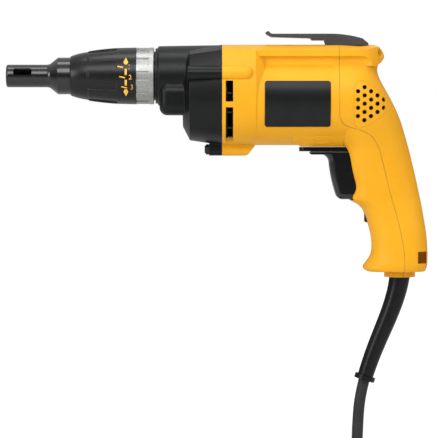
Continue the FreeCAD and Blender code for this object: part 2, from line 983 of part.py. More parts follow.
def spindle():
    front = -d.spindle_front
    nose = -d.spindle_nose_ahead
    flange = spindle_face - d.spindle_flange_length
    pilot = d.gear_shaft_radius + d.running_gap
    pocket = spindle_face - d.spring_seat_depth
    bottom = pilot_front - d.clutch_gap - d.clutch_tooth_height - d.overrun
    body = turned("spindle", ON_SPINDLE, [
        (front, ZERO),
        (bottom, ZERO),
        (bottom, pilot),
        (pocket, pilot),
        (pocket, d.spring_seat_radius),
        (spindle_face, d.spring_seat_radius),
        (spindle_face, d.spindle_flange_radius),
        (flange, d.spindle_flange_radius),
        (flange, d.spindle_radius),
        (nose, d.spindle_radius),
        (nose, d.spindle_nose_radius),
        (front, d.spindle_nose_radius),
    ])
    half_pitch = 180 / float(d.clutch_teeth)
    clutch_jaws(body, spindle_face, spindle_face + d.clutch_tooth_height, half_pitch)
    socket = new_sketch(body, "YZ_Plane", front)
    draw(socket, hexagon(d.hex_across_flats + d.slip_gap))
    extrude(body, socket, d.spindle_socket_depth, "Pocket", reverse=True)
    return body


def bit_holder():
    front = -d.holder_front
    rear = front + d.holder_length
    neck = rear - d.holder_neck_length
    body = turned("bit_holder", ON_SPINDLE, [
        (front, ZERO),
        (rear, ZERO),
        (rear, d.holder_neck_radius),
        (neck, d.holder_neck_radius),
        (neck, d.holder_radius),
        (front + d.holder_edge, d.holder_radius),
        (front, d.holder_radius - d.holder_edge),
    ])
    shank = new_sketch(body, "YZ_Plane", rear)
    draw(shank, hexagon(d.hex_across_flats))
    reach = -d.spindle_front + d.spindle_socket_depth - d.slip_gap - rear
    extrude(body, shank, reach)
    socket = new_sketch(body, "YZ_Plane", front)
    draw(socket, hexagon(d.hex_across_flats + d.slip_gap))
    extrude(body, socket, d.holder_socket_depth + d.magnet_length, "Pocket", reverse=True)
    return body


def bit_magnet():
    rear = -d.holder_front + d.holder_socket_depth + d.magnet_length
    return turned("bit_magnet", ON_SPINDLE, rectangle(rear - d.magnet_length, rear, ZERO, d.magnet_radius))


def drive_gear():
    rear = -d.gear_rear
    face = rear - d.gear_face
    hub = -d.clutch_face
    bore = d.gear_shaft_radius + d.running_gap / 5
    seat = hub + d.spring_seat_depth / 3
    rim = doc.addObject("Part::Feature", "gear_rim")
    outline = toothed_outline(d.gear_teeth, -GEAR_SHIFT_SHARE, 0.0)
    rim.Shape = outline.extrude(V(float(d.gear_face), 0, 0))
    set_place(rim, shifted(ON_SPINDLE, x=face))
    hub_body = turned("gear_hub", ON_SPINDLE, [
        (hub, d.spring_seat_radius),
        (seat, d.spring_seat_radius),
        (seat, bore),
        (rear, bore),
        (rear, d.gear_hub_radius),
        (hub, d.gear_hub_radius),
    ])
    clutch_jaws(hub_body, jaw_face, hub)
    hole = rod("gear_bore", shifted(ON_SPINDLE, x=face - d.overrun), d.gear_hub_radius - d.overrun,
               d.gear_face + 2 * d.overrun)
    ring = cut("gear_ring", rim, [hole])
    gear = fused("drive_gear", [hub_body, ring])
    return gear


GEAR_SHIFT_SHARE = 0.5
TIP_RELIEF_SHARE = 0.05
ROOT_DEPTH_SHARE = 1.25
PRESSURE_ANGLE = math.radians(20)


def toothed_outline(teeth, shift, turn):
    # Involute teeth: each flank one arc through three points of the involute
    count = int(round(float(teeth)))
    module = float(d.gear_module)
    pitch = module * count / 2
    base = pitch * math.cos(PRESSURE_ANGLE)
    tip = module * (count / 2 + 1 + shift - TIP_RELIEF_SHARE)
    root = module * (count / 2 - ROOT_DEPTH_SHARE + shift)
    thickness = module * (math.pi / 2 + 2 * shift * math.tan(PRESSURE_ANGLE)) - float(d.gear_backlash)
    half = thickness / (2 * pitch) + math.tan(PRESSURE_ANGLE) - PRESSURE_ANGLE
    start = max(base, root)

    def flank(radius):
        roll = math.acos(min(base / radius, 1.0))
        return half - (math.tan(roll) - roll)

    def spot(radius, angle):
        return V(0, radius * math.sin(angle), radius * math.cos(angle))

    edges = []
    step = 2 * math.pi / count
    for number in range(count):
        middle = turn + number * step
        mid = (start + tip) / 2
        left = [spot(r, middle - flank(r)) for r in (start, mid, tip)]
        right = [spot(r, middle + flank(r)) for r in (tip, mid, start)]
        foot_left = spot(root, middle - flank(start))
        foot_right = spot(root, middle + flank(start))
        next_foot = spot(root, middle + step - flank(start))
        dip = spot(root, middle + step / 2)
        if (left[0] - foot_left).Length > module / 100:
            edges.append(Part.LineSegment(foot_left, left[0]).toShape())
        edges.append(Part.Arc(*left).toShape())
        edges.append(Part.Arc(left[2], spot(tip, middle), right[0]).toShape())
        edges.append(Part.Arc(*right).toShape())
        if (right[2] - foot_right).Length > module / 100:
            edges.append(Part.LineSegment(right[2], foot_right).toShape())
        edges.append(Part.Arc(foot_right, dip, next_foot).toShape())
    return Part.Face(Part.Wire(edges))


def gear_shaft():
    rear = -d.slip_gap
    return turned("gear_shaft", ON_SPINDLE, rectangle(pilot_front, rear, ZERO, d.gear_shaft_radius))


# Turns of wire as one tube on arcs that meet in line

def biarc(start, along, end, onward):
    gap = end - start
    both = along + onward
    a = both.dot(both) - 4
    b = -2 * gap.dot(both)
    c = gap.dot(gap)
    reach = -c / b if abs(a) < 1e-9 else (-b - math.sqrt(b * b - 4 * a * c)) / (2 * a)
    first = start + along * reach
    last = end - onward * reach
    joint = (first + last) / 2
    return [bow(start, first, joint), bow(joint, last, end)]


def bow(start, corner, end):
    # The arc from start to end whose end tangents meet at the corner
    chord = (start + end) / 2
    half = (end - start).Length / 2
    rise = (corner - chord).Length
    if rise < half * 1e-6:
        return Part.LineSegment(start, end).toShape()
    lift = half * math.tan(math.atan2(rise, half) / 2)
    return Part.Arc(start, chord + (corner - chord) * (lift / rise), end).toShape()


def wound_tube(way, steps, wire):
    # Way gives a point for each share of the winding from 0 to 1
    nudge = 1e-4
    points = [way(i / steps) for i in range(steps + 1)]
    headings = []
    for i in range(steps + 1):
        before = max(i / steps - nudge, 0.0)
        after = min(i / steps + nudge, 1.0)
        headings.append((way(after) - way(before)).normalize())
    edges = []
    for i in range(steps):
        edges += biarc(points[i], headings[i], points[i + 1], headings[i + 1])
    lead = [Part.LineSegment(points[0] - headings[0] * 2 * wire, points[0]).toShape()]
    tail = [Part.LineSegment(points[-1], points[-1] + headings[-1] * 2 * wire).toShape()]
    path = Part.Wire(lead + edges + tail)
    ring = Part.Wire(Part.Circle(points[0] - headings[0] * 2 * wire, headings[0], wire).toShape())
    tube_shape = path.makePipeShell([ring], True, False)
    length = path.Length
    share = tube_shape.Volume / (math.pi * wire ** 2 * length)
    print(f"winding length {length:.1f}, volume share {share:.4f}")
    return tube_shape, length


def least_gap(way, turns, wire):
    # Least gap of a winding to itself, on points a degree or so apart
    count = int(turns * 120)
    points = [way(i / count) for i in range(count + 1)]
    skip = 40
    least = min((points[i] - points[j]).Length
                for i in range(0, count + 1, 3) for j in range(i + skip, count + 1))
    return least - 2 * wire


def helix(front, length, radius, turns, place):
    # A spring's line along X
    def way(share):
        angle = 2 * math.pi * turns * share
        return place + V(front + length * share, radius * math.sin(angle), radius * math.cos(angle))
    return way


SPRING_TURNS = 4
TURN_STEPS = 4


def clutch_spring():
    front = float(spindle_face - d.spring_seat_depth + d.spring_wire_radius + d.slip_gap)
    rear = float(-d.clutch_face + d.spring_seat_depth / 3 - d.spring_wire_radius - d.slip_gap)
    wire = float(d.spring_wire_radius)
    way = helix(front, rear - front, float(d.spring_mean_radius), SPRING_TURNS, point(ON_SPINDLE))
    shape, _ = wound_tube(way, SPRING_TURNS * TURN_STEPS, wire)
    print(f"clutch spring least gap {least_gap(way, SPRING_TURNS, wire):.2f}")
    return plain("clutch_spring", shape)


def spindle_bush():
    front = -(d.case_front + d.flange_length + d.neck_length)
    return tube("spindle_bush", ON_SPINDLE, front, bush_rear, spindle_bore, bush_seat)


def gear_bush():
    return tube("gear_bush", ON_SPINDLE, -d.plate_thickness, ZERO,
                d.gear_shaft_radius + d.running_gap, d.bush_outer_radius)


def thrust_washer():
    return tube("thrust_washer", ON_SPINDLE, -d.gear_rear + d.slip_gap, -d.plate_thickness - d.slip_gap,
                d.gear_shaft_radius + d.slip_gap, d.washer_radius)


# Gear case and bearing plate

def barrel_outline(name, behind, inset):
    # The barrel's outline across the tool: arched top, bowed sides, round bottom
    half = d.rail_half_width - inset
    shoulder = d.rail_shoulder - inset
    top = d.rail_top - inset
    radius = d.barrel_radius - inset
    rise = top - shoulder
    arch = (half * half + rise * rise) / (2 * rise)
    bulge = radius - half
    drop = shoulder - d.ring_lift
    side = (bulge * bulge + drop * drop) / (2 * bulge)
    sketch = free_sketch(name, shifted(ON_MOTOR, x=behind), STAND_YZ)
    draw(sketch, [
        (half, shoulder, side),
        (-half, shoulder, arch),
        (-radius, d.ring_lift, side),
        (ZERO, d.ring_lift - radius, radius),
        (radius, d.ring_lift, radius),
    ])
    return sketch


def skinned(name, outlines):
    solid = doc.addObject("Part::Loft", name)
    solid.Sections = outlines
    solid.Solid = True
    solid.Ruled = True
    return solid


def screw_places():
    # The three screws that hold the gear case: across and up from the motor axis
    high = gear_centres + d.case_screw_rise
    return [(d.case_screw_side, high), (-d.case_screw_side, high), (ZERO, -d.case_screw_drop)]


def chin():
    low = spindle_z - d.chin_bottom_drop
    front = d.joint_x - d.case_front + d.chin_setback
    width = 2 * d.chin_half_width
    block = box("chin_block", (front, -d.chin_half_width, low),
                (d.chin_length, width, d.chin_bottom_drop - d.chin_top_drop))
    near = float(front) + float(d.overrun)
    pod = rounded("chin_pod", block, d.chin_corner, lambda e: runs_along(e, V(1, 0, 0)))
    return rounded("chin", pod, d.chin_edge, lambda e: middle_of(e).x < near)


def gear_case():
    neck_front = -(d.case_front + d.flange_length + d.neck_length)
    flange_front = -(d.case_front + d.flange_length)
    body = turned("case_body", ON_SPINDLE, [
        (neck_front, ZERO),
        (ZERO, ZERO),
        (ZERO, d.case_rear_radius),
        (-d.case_front + d.case_edge, d.case_front_radius),
        (-d.case_front, d.case_front_radius - d.case_edge, d.case_edge),
        (-d.case_front, d.flange_radius),
        (flange_front, d.flange_radius),
        (flange_front, d.neck_radius),
        (neck_front, d.neck_radius),
    ])
    groove_rear = flange_front - d.oring_groove_back
    floor = d.neck_radius - d.oring_groove_depth
    revolve(body, rectangle(groove_rear - d.oring_groove_width, groove_rear, floor,
                            d.neck_radius + d.overrun), "Groove")
    bell = skinned("bell", [
        barrel_outline("bell_brow_outline", -d.bell_brow, d.bell_brow_inset),
        barrel_outline("bell_shoulder_outline", -d.bell_shoulder, d.bell_shoulder_inset),
        barrel_outline("bell_rear_outline", ZERO, ZERO),
    ])
    parts = [body, bell, chin()]
    tools = []
    for number, (across, up) in enumerate(screw_places()):
        low = float(up) < 0
        seat = -d.keel_front if low else -d.case_screw_seat
        if not low:
            place = shifted(ON_MOTOR, x=-d.case_tube_front, y=across, z=up)
            parts.append(rod(f"case_tube_{number}", place, d.case_tube_radius, d.case_tube_front))
            place = shifted(ON_MOTOR, x=seat - d.case_tube_front, y=across, z=up)
            tools.append(rod(f"case_head_room_{number}", place,
                             d.case_screw_head_radius + d.case_screw_room, d.case_tube_front))
        place = shifted(ON_MOTOR, x=seat - d.overrun, y=across, z=up)
        tools.append(rod(f"case_hole_{number}", place, d.case_screw_radius + d.running_gap,
                         d.overrun * 2 - seat))
    front_keel = prism("case_keel_block", ON_MOTOR, STAND_XZ,
                       rectangle(-d.keel_front, ZERO, -d.keel_bottom, -d.keel_root), 2 * d.keel_half_width)
    bottom = float(motor_z) - float(d.keel_bottom) + float(d.overrun)
    parts.append(rounded("case_keel", front_keel, d.keel_round,
                         lambda e: runs_along(e, V(1, 0, 0)) and middle_of(e).z < bottom))
    # Rooms inside for the spindle, the clutch, the gear, the pinion and the plate
    neck_bore = spindle_bore + d.case_screw_room
    tools.append(turned("case_rooms", ON_SPINDLE, [
        (neck_front - d.overrun, ZERO),
        (d.overrun, ZERO),
        (d.overrun, d.gear_room_radius),
        (-d.gear_room_depth, d.gear_room_radius),
        (-d.gear_room_depth, d.clutch_room_radius),
        (-d.clutch_room_depth, d.clutch_room_radius),
        (-d.clutch_room_depth, neck_bore),
        (bush_rear, neck_bore),
        (bush_rear, bush_seat),
        (neck_front - d.overrun, bush_seat),
    ]))
    pinion_room = d.gear_rear + d.gear_face + d.pinion_overhang + d.overrun
    tools.append(rod("pinion_room", shifted(ON_MOTOR, x=-pinion_room), d.pinion_room_radius,
                     pinion_room + d.overrun))
    tools += plate_discs("plate_room", d.slip_gap, d.overrun)
    return cut_in_turn("gear_case", joined("case_solid", parts), tools)


def plate_discs(name, room, beyond):
    length = d.plate_thickness + beyond
    return [rod(f"{name}_main", shifted(ON_MOTOR, x=-d.plate_thickness), d.plate_radius + room, length),
            rod(f"{name}_lobe", shifted(ON_SPINDLE, x=-d.plate_thickness), d.plate_lobe_radius + room, length)]


def bearing_plate():
    blank = fused("plate_blank", plate_discs("plate", ZERO, ZERO))
    seat = d.front_bearing_width
    through = d.plate_thickness + 2 * d.overrun
    tools = [
        rod("plate_bearing_seat", shifted(ON_MOTOR, x=-seat), d.front_bearing_radius, seat + d.overrun),
        rod("plate_shaft_hole", shifted(ON_MOTOR, x=-d.plate_thickness - d.overrun),
            d.front_bearing_radius - d.bearing_ring_wall, through),
        rod("plate_bush_hole", shifted(ON_SPINDLE, x=-d.plate_thickness - d.overrun),
            d.bush_outer_radius, through),
    ]
    return cut("bearing_plate", blank, tools)


def screw(name, place, seat, head_radius, head_length, radius, length, away):
    # A pan head screw along X; away is the side its head looks to, -1 or 1
    edge = head_length / 3
    body = new_body(name, place)
    revolve(body, [
        (seat - away * length, ZERO),
        (seat + away * head_length, ZERO),
        (seat + away * head_length, head_radius - edge),
        (seat + away * (head_length - edge), head_radius, -away * edge),
        (seat, head_radius),
        (seat, radius),
        (seat - away * length, radius),
    ])
    return body


def gear_case_screws():
    screws = []
    for number, (across, up) in enumerate(screw_places()):
        low = float(up) < 0
        seat = -d.keel_front if low else -d.case_screw_seat
        place = shifted(ON_MOTOR, y=across, z=up)
        screws.append(screw(f"case_screw_{number}", place, seat, d.case_screw_head_radius,
                            d.case_screw_head_length, d.case_screw_radius, d.case_screw_grip - seat, -1))
    return group("gear_case_screws", screws)


# Motor

def armature_shaft():
    front = -(d.gear_rear + d.gear_face + d.pinion_overhang)
    journal = -d.front_journal_length
    shoulder = d.slip_gap
    rear_journal = d.shaft_rear - d.rear_journal_length
    shaft = turned("shaft_blank", ON_MOTOR, [
        (journal, ZERO),
        (d.shaft_rear, ZERO),
        (d.shaft_rear, d.rear_journal_radius),
        (rear_journal, d.rear_journal_radius),
        (rear_journal, d.shaft_radius),
        (shoulder, d.shaft_radius),
        (shoulder, d.front_journal_radius),
        (journal, d.front_journal_radius),
    ])
    pinion = doc.addObject("Part::Feature", "pinion_teeth_blank")
    half_tooth = math.pi / float(d.pinion_teeth)
    outline = toothed_outline(d.pinion_teeth, GEAR_SHIFT_SHARE, half_tooth)
    pinion.Shape = outline.extrude(V(float(journal - front + d.slip_gap), 0, 0))
    set_place(pinion, shifted(ON_MOTOR, x=front))
    return fused("armature_shaft", [shaft, pinion])


press_gap = d.running_gap / 5


def armature_core():
    rear = d.core_front + d.core_length
    body = tube("armature_core", ON_MOTOR, d.core_front, rear, d.shaft_radius + press_gap, d.core_radius)
    sketch = new_sketch(body, "YZ_Plane", d.core_front)
    half = d.core_slot_width / 2
    draw(sketch, rectangle(-half, half, d.core_radius - d.core_slot_depth, d.core_radius + d.overrun))
    slot = extrude(body, sketch, d.core_length, "Pocket", reverse=True)
    repeat(body, slot, d.core_slots)
    return body


def armature_winding():
    rear = d.core_front + d.core_length
    body = tube("armature_winding", ON_MOTOR, d.core_front - d.winding_length, d.core_front - press_gap,
                d.winding_hub_radius, d.winding_radius)
    sketch = new_sketch(body, "YZ_Plane", d.core_front - d.winding_length / 2)
    half = d.core_slot_width / 2 - press_gap
    draw(sketch, rectangle(-half, half, d.core_radius - d.core_slot_depth + press_gap, d.winding_radius))
    bar = extrude(body, sketch, d.core_length + d.winding_length)
    repeat(body, bar, d.core_slots)
    revolve(body, rectangle(rear + press_gap, rear + d.winding_length, d.winding_hub_radius, d.winding_radius))
    return body


def commutator():
    front = d.commutator_front
    rear = front + d.commutator_length
    riser = front + d.commutator_riser_length
    body = turned("commutator", ON_MOTOR, [
        (front, d.shaft_radius + press_gap),
        (rear, d.shaft_radius + press_gap),
        (rear, d.commutator_radius),
        (riser, d.commutator_radius),
        (riser, d.commutator_riser_radius),
        (front, d.commutator_riser_radius),
    ])
    sketch = new_sketch(body, "YZ_Plane", riser)
    half = d.commutator_slot_width / 2
    draw(sketch, rectangle(-half, half, d.commutator_radius - d.commutator_slot_depth,
                           d.commutator_radius + d.overrun))
    slot = extrude(body, sketch, d.commutator_length, "Pocket", reverse=True)
    repeat(body, slot, d.commutator_bars)
    return body


def cooling_fan():
    rear = d.fan_front + d.fan_length
    disc = d.fan_front + d.fan_disc
    tip = d.housing_bore - d.fan_tip_gap
    body = turned("cooling_fan", ON_MOTOR, [
        (d.fan_front, d.shaft_radius + press_gap),
        (rear, d.shaft_radius + press_gap),
        (rear, d.fan_hub_radius),
        (disc, d.fan_hub_radius),
        (disc, tip),
        (d.fan_front, tip),
    ])
    sketch = new_sketch(body, "YZ_Plane", disc - d.slip_gap)
    half = d.fan_blade / 2
    draw(sketch, rectangle(-half, half, d.fan_eye_radius, tip - d.slip_gap))
    blade = extrude(body, sketch, d.fan_length - d.fan_disc)
    repeat(body, blade, d.fan_blades)
    return body


def ball_bearing(name, front, width, bore, outer):
    wall = d.bearing_ring_wall
    rear = front + width
    race_in = bore + wall
    race_out = outer - wall
    edge = d.running_gap
    pieces = [
        tube(f"{name}_bearing_outer", ON_MOTOR, front, rear, race_out, outer),
        tube(f"{name}_bearing_inner", ON_MOTOR, front, rear, bore + press_gap, race_in),
    ]
    mean = (race_in + race_out) / 2
    radius = (race_out - race_in) / 2 - edge
    balls = []
    for number in range(int(float(d.bearing_balls))):
        angle = 2 * math.pi * number / float(d.bearing_balls)
        place = shifted(ON_MOTOR, x=front + width / 2, y=mean * math.sin(angle), z=mean * math.cos(angle))
        balls.append(ball(f"{name}_ball_{number}", place, radius))
    return pieces + [group(f"{name}_bearing_balls", balls)]


def stator_core():
    rear = d.stator_front + d.stator_length
    body = tube("stator_core", ON_MOTOR, d.stator_front, rear, d.stator_slot_radius, d.stator_radius)
    pole = revolve(body, rectangle(d.stator_front, rear, d.stator_bore, d.stator_slot_radius + d.slip_gap),
                   "Revolution", d.pole_deg)
    repeat(body, pole, size(2))
    return body


def field_coils():
    front = d.stator_front - d.coil_overhang
    rear = d.stator_front + d.stator_length + d.coil_overhang
    inner = d.stator_bore + d.coil_clear
    outer = d.stator_slot_radius - d.coil_clear
    coils = []
    for number in range(2):
        turn = 180 * number
        body = new_body(f"field_coil_{number}", ON_MOTOR)
        revolve(body, rectangle(front, rear, inner, outer), "Revolution", d.coil_side_deg, turn)
        gap = rectangle(d.stator_front - d.coil_clear, d.stator_front + d.stator_length + d.coil_clear,
                        inner - d.overrun, outer + d.overrun)
        revolve(body, gap, "Groove", d.coil_gap_deg, turn)
        coils.append(body)
    return group("field_coils", coils)


def fan_baffle():
    return tube("fan_baffle", ON_MOTOR, d.baffle_front, d.baffle_front + d.baffle_thickness,
                d.baffle_eye_radius, d.housing_bore - d.slip_gap)


def end_frame():
    front = d.end_frame_front
    rear = front + d.end_frame_length
    seat = rear - d.rear_bearing_width - d.overrun / 2
    web = seat - d.end_frame_wall
    outer = d.housing_bore - d.slip_gap
    return turned("end_frame", ON_MOTOR, [
        (front, outer - d.end_frame_wall),
        (web, outer - d.end_frame_wall),
        (web, d.rear_bearing_radius - d.bearing_ring_wall),
        (seat, d.rear_bearing_radius - d.bearing_ring_wall),
        (seat, d.rear_bearing_radius),
        (rear, d.rear_bearing_radius),
        (rear, d.end_frame_boss_radius),
        (seat, d.end_frame_boss_radius),
        (seat, outer),
        (front, outer),
    ])


def brush_gear():
    start = d.commutator_radius + d.brush_box_clear
    brush_start = d.commutator_radius + d.running_gap
    middle = d.brush_centre - d.brush_width / 2
    wall = d.brush_box_wall
    holders = []
    brushes = []
    springs = []
    for number, side in enumerate((-1, 1)):
        low = start if side > 0 else -start - d.brush_box_length
        place = shifted(ON_MOTOR, x=middle - wall, y=low, z=-d.brush_height / 2 - wall)
        case = box(f"brush_box_{number}", place, (d.brush_width + 2 * wall, d.brush_box_length,
                                                  d.brush_height + 2 * wall))
        gap = d.running_gap
        inside = low - d.overrun if side > 0 else low + wall
        place = shifted(ON_MOTOR, x=middle - gap, y=inside, z=-d.brush_height / 2 - gap)
        room = box(f"brush_room_{number}", place,
                   (d.brush_width + 2 * gap, d.brush_box_length + d.overrun - wall, d.brush_height + 2 * gap))
        holders.append(cut(f"brush_holder_{number}", case, [room]))
        low = brush_start if side > 0 else -brush_start - d.brush_length
        place = shifted(ON_MOTOR, x=middle, y=low, z=-d.brush_height / 2)
        block = box(f"brush_block_{number}", place, (d.brush_width, d.brush_length, d.brush_height))
        wear = rod(f"brush_wear_{number}", shifted(ON_MOTOR, x=middle - d.overrun),
                   d.commutator_radius + d.running_gap, d.brush_width + 2 * d.overrun)
        brushes.append(cut(f"brush_{number}", block, [wear]))
        base = brush_start + d.brush_length + d.brush_spring_wire + d.running_gap
        end = start + d.brush_box_length - wall - d.brush_spring_wire - d.running_gap
        wire = float(d.brush_spring_wire)
        springs.append(brush_spring(float(base), float(end), side, wire))
    return [group("brush_holders", holders), group("carbon_brushes", brushes),
            plain("brush_springs", Part.makeCompound(springs))]


def brush_spring(base, end, side, wire):
    centre = point(ON_MOTOR) + V(float(d.brush_centre), 0, 0)
    radius = float(d.brush_spring_radius)

    def way(share):
        angle = 2 * math.pi * SPRING_TURNS * share
        out = side * (base + (end - base) * share)
        return centre + V(radius * math.cos(angle), out, radius * math.sin(angle))

    shape, _ = wound_tube(way, SPRING_TURNS * TURN_STEPS, wire)
    return shape


# Motor housing and handle cover

def ring_wire(centre, half_depth, half_width, height):
    # A rounded slice of the handle: a superellipse through evenly spread points
    count = 24
    power = 2 / HANDLE_POWER_SHARE
    points = []
    for number in range(count):
        angle = 2 * math.pi * number / count
        across = math.copysign(abs(math.cos(angle)) ** power, math.cos(angle))
        aside = math.copysign(abs(math.sin(angle)) ** power, math.sin(angle))
        points.append(V(centre + half_depth * across, half_width * aside, height))
    curve = Part.BSplineCurve()
    curve.interpolate(points, PeriodicFlag=True)
    return Part.Wire(curve.toShape())


def handle_form(name, shares, inset):
    depth, width = float(d.grip_depth), float(d.grip_half_width)
    wires = []
    for up, front, rear, half in shares:
        middle = depth * (front + rear) / 2
        half_depth = depth * (rear - front) / 2 - inset
        height = float(d.handle_foot) + float(d.handle_height) * up
        wires.append(ring_wire(middle, half_depth, width * half - inset, height))
    return plain(name, Part.makeLoft(wires, True))


def rail():
    # The flat top rail: its section, its side view and its plan, shared
    low = d.rail_shoulder - d.rail_side
    half = d.rail_half_width
    rise = d.rail_top - d.rail_shoulder
    arch = (half * half + rise * rise) / (2 * rise)
    foot_y, foot_z = d.rail_groove_foot_y, d.rail_groove_foot_z
    section = prism("rail_section", ON_MOTOR, STAND_YZ, [
        (foot_y, foot_z),
        (half, low, -d.rail_groove_radius),
        (half, d.rail_shoulder),
        (-half, d.rail_shoulder, arch),
        (-half, low),
        (-foot_y, foot_z, -d.rail_groove_radius),
    ], d.rail_end + d.overrun, both_sides=False)
    tuck = d.rail_top - d.rail_tuck_drop
    brink = d.rail_top - d.rail_end_drop
    side = prism("rail_side_view", ON_MOTOR, STAND_XZ, [
        (ZERO, tuck),
        (d.rail_end - d.rail_tuck_run, tuck),
        (d.rail_end, brink, d.rail_tuck_radius),
        (d.rail_end - d.rail_end_run, d.rail_top, d.rail_end_round),
        (d.rail_end - d.rail_end_run, d.rail_top + d.overrun),
        (ZERO, d.rail_top + d.overrun),
    ], 3 * half)
    corner = d.rail_corner
    reach = half + d.overrun
    plan = prism("rail_plan", shifted(ON_MOTOR, z=foot_z - d.overrun), None, [
        (ZERO, -reach),
        (d.rail_end - corner, -reach),
        (d.rail_end - corner, -half),
        (d.rail_end, -half + corner, corner),
        (d.rail_end, half - corner),
        (d.rail_end - corner, half, corner),
        (d.rail_end - corner, reach),
        (ZERO, reach),
    ], d.rail_top, both_sides=False)
    return shared("rail", [section, side, plan])


def trigger_shelf():
    # The flat over the trigger, blended into the belly at its sides and its front
    drop = d.housing_bore + d.shelf_floor
    flat, wide = d.shelf_flat, d.shelf_half_width
    slant = math.asin(float(wide) / float(d.belly_radius))
    edge = -d.belly_radius * math.cos(slant)
    start = d.shelf_front - d.joint_x
    end = start + d.shelf_length
    section = prism("shelf_section", shifted(ON_MOTOR, x=start - d.shelf_ramp), STAND_YZ, [
        (-wide, edge),
        (-flat, -drop, d.shelf_side_radius),
        (flat, -drop),
        (wide, edge, d.shelf_side_radius),
        (wide, ZERO),
        (-wide, ZERO),
    ], d.shelf_length + d.shelf_ramp, both_sides=False)
    side = prism("shelf_side_view", ON_MOTOR, STAND_XZ, [
        (start - d.shelf_ramp, -d.housing_bore),
        (start, -drop),
        (end, -drop),
        (end, ZERO),
        (start - d.shelf_ramp, ZERO),
    ], 2 * wide)
    return shared("trigger_shelf", [section, side])


def housing_outside():
    ring = doc.addObject("Part::Extrusion", "front_ring")
    ring.Base = barrel_outline("ring_front_outline", ZERO, ZERO)
    ring.DirMode = "Normal"
    ring.Solid = True
    bind(ring, "LengthFwd", d.front_ring_length)
    slope = skinned("front_ring_slope", [
        barrel_outline("slope_front_outline", d.front_ring_length, ZERO),
        barrel_outline("slope_rear_outline", d.front_ring_length + d.front_ring_slope, d.front_ring_inset),
    ])
    parts = [ring, slope, rod("belly", ON_MOTOR, d.belly_radius, d.belly_length), rail()]
    parts.append(handle_form("handle_outside", HANDLE_SLICE_SHARES, 0.0))
    foot = (d.protector_x, ZERO, d.handle_foot - d.foot_boss_drop)
    parts.append(rod("foot_boss", foot, d.foot_boss_radius, d.foot_boss_drop * 2, FreeCAD.Rotation()))
    parts.append(trigger_shelf())
    for number, (across, up) in enumerate(screw_places()):
        if float(up) < 0:
            continue
        straight = d.case_tube_rear - d.case_tube_radius
        place = shifted(ON_MOTOR, y=across, z=up)
        parts.append(rod(f"housing_tube_{number}", place, d.case_tube_radius, straight))
        parts.append(ball(f"housing_tube_end_{number}", shifted(place, x=straight), d.case_tube_radius))
    slope_end = d.keel_flat + d.keel_slope
    corner = d.keel_corner
    keel = prism("housing_keel_block", ON_MOTOR, STAND_XZ, [
        (ZERO, -d.keel_bottom),
        (d.keel_flat - corner / 2, -d.keel_bottom),
        (d.keel_flat + corner / 2, -d.keel_bottom + corner / 2, 2 * corner),
        (slope_end, -d.belly_radius),
        (slope_end, -d.keel_root),
        (ZERO, -d.keel_root),
    ], 2 * d.keel_half_width)
    bottom = float(motor_z) - float(d.keel_bottom) + float(d.overrun)
    parts.append(rounded("housing_keel", keel, d.keel_round,
                         lambda e: runs_along(e, V(1, 0, 0)) and middle_of(e).z < bottom))
    return joined("housing_outside", parts)


def grip_cavity():
    # The hollow of the grip, with its screw boss, slot web, switch ribs and clamp posts left standing
    shares = HANDLE_SLICE_SHARES[2:7] + HANDLE_SLICE_SHARES[10:-2]
    hollow = handle_form("handle_hollow", shares, float(d.handle_wall))
    reach = 2 * d.housing_bore
    clip = box("cavity_limit", (d.cavity_front, -reach, d.handle_foot),
               (d.cavity_length, 2 * reach, d.handle_height))
    clear = shared("cavity_blank", [hollow, clip])
    boss = rod("grip_boss", (-d.grip_depth, ZERO, d.grip_screw_z), d.grip_screw_boss, 2 * d.grip_depth)
    web = d.slot_web
    rib = box("slot_rib", (d.slot_x - web / 2, -web, d.slot_z - web),
              (d.grip_depth, 2 * web, d.slot_height + 2 * web))
    left = [boss, rib]
    for number, side in enumerate((-1, 1)):
        start = d.switch_half_width + d.slip_gap
        low = start if side > 0 else -start - d.grip_half_width
        top = switch_top - d.switch_rib_drop
        left.append(box(f"switch_rib_{number}", (d.switch_front, low, top - d.switch_rib_height),
                        (d.switch_rib_length, d.grip_half_width, d.switch_rib_height)))
        post = (-d.grip_depth, d.clamp_screw_side * side, d.clamp_z)
        left.append(rod(f"clamp_post_{number}", post, d.clamp_post_radius,
                        d.grip_depth + d.clamp_x - d.running_gap))
    return cut("grip_cavity", clear, left)


def along_y(name, place, radius, length):
    return rod(name, place, radius, length, FreeCAD.Rotation(V(1, 0, 0), -90))


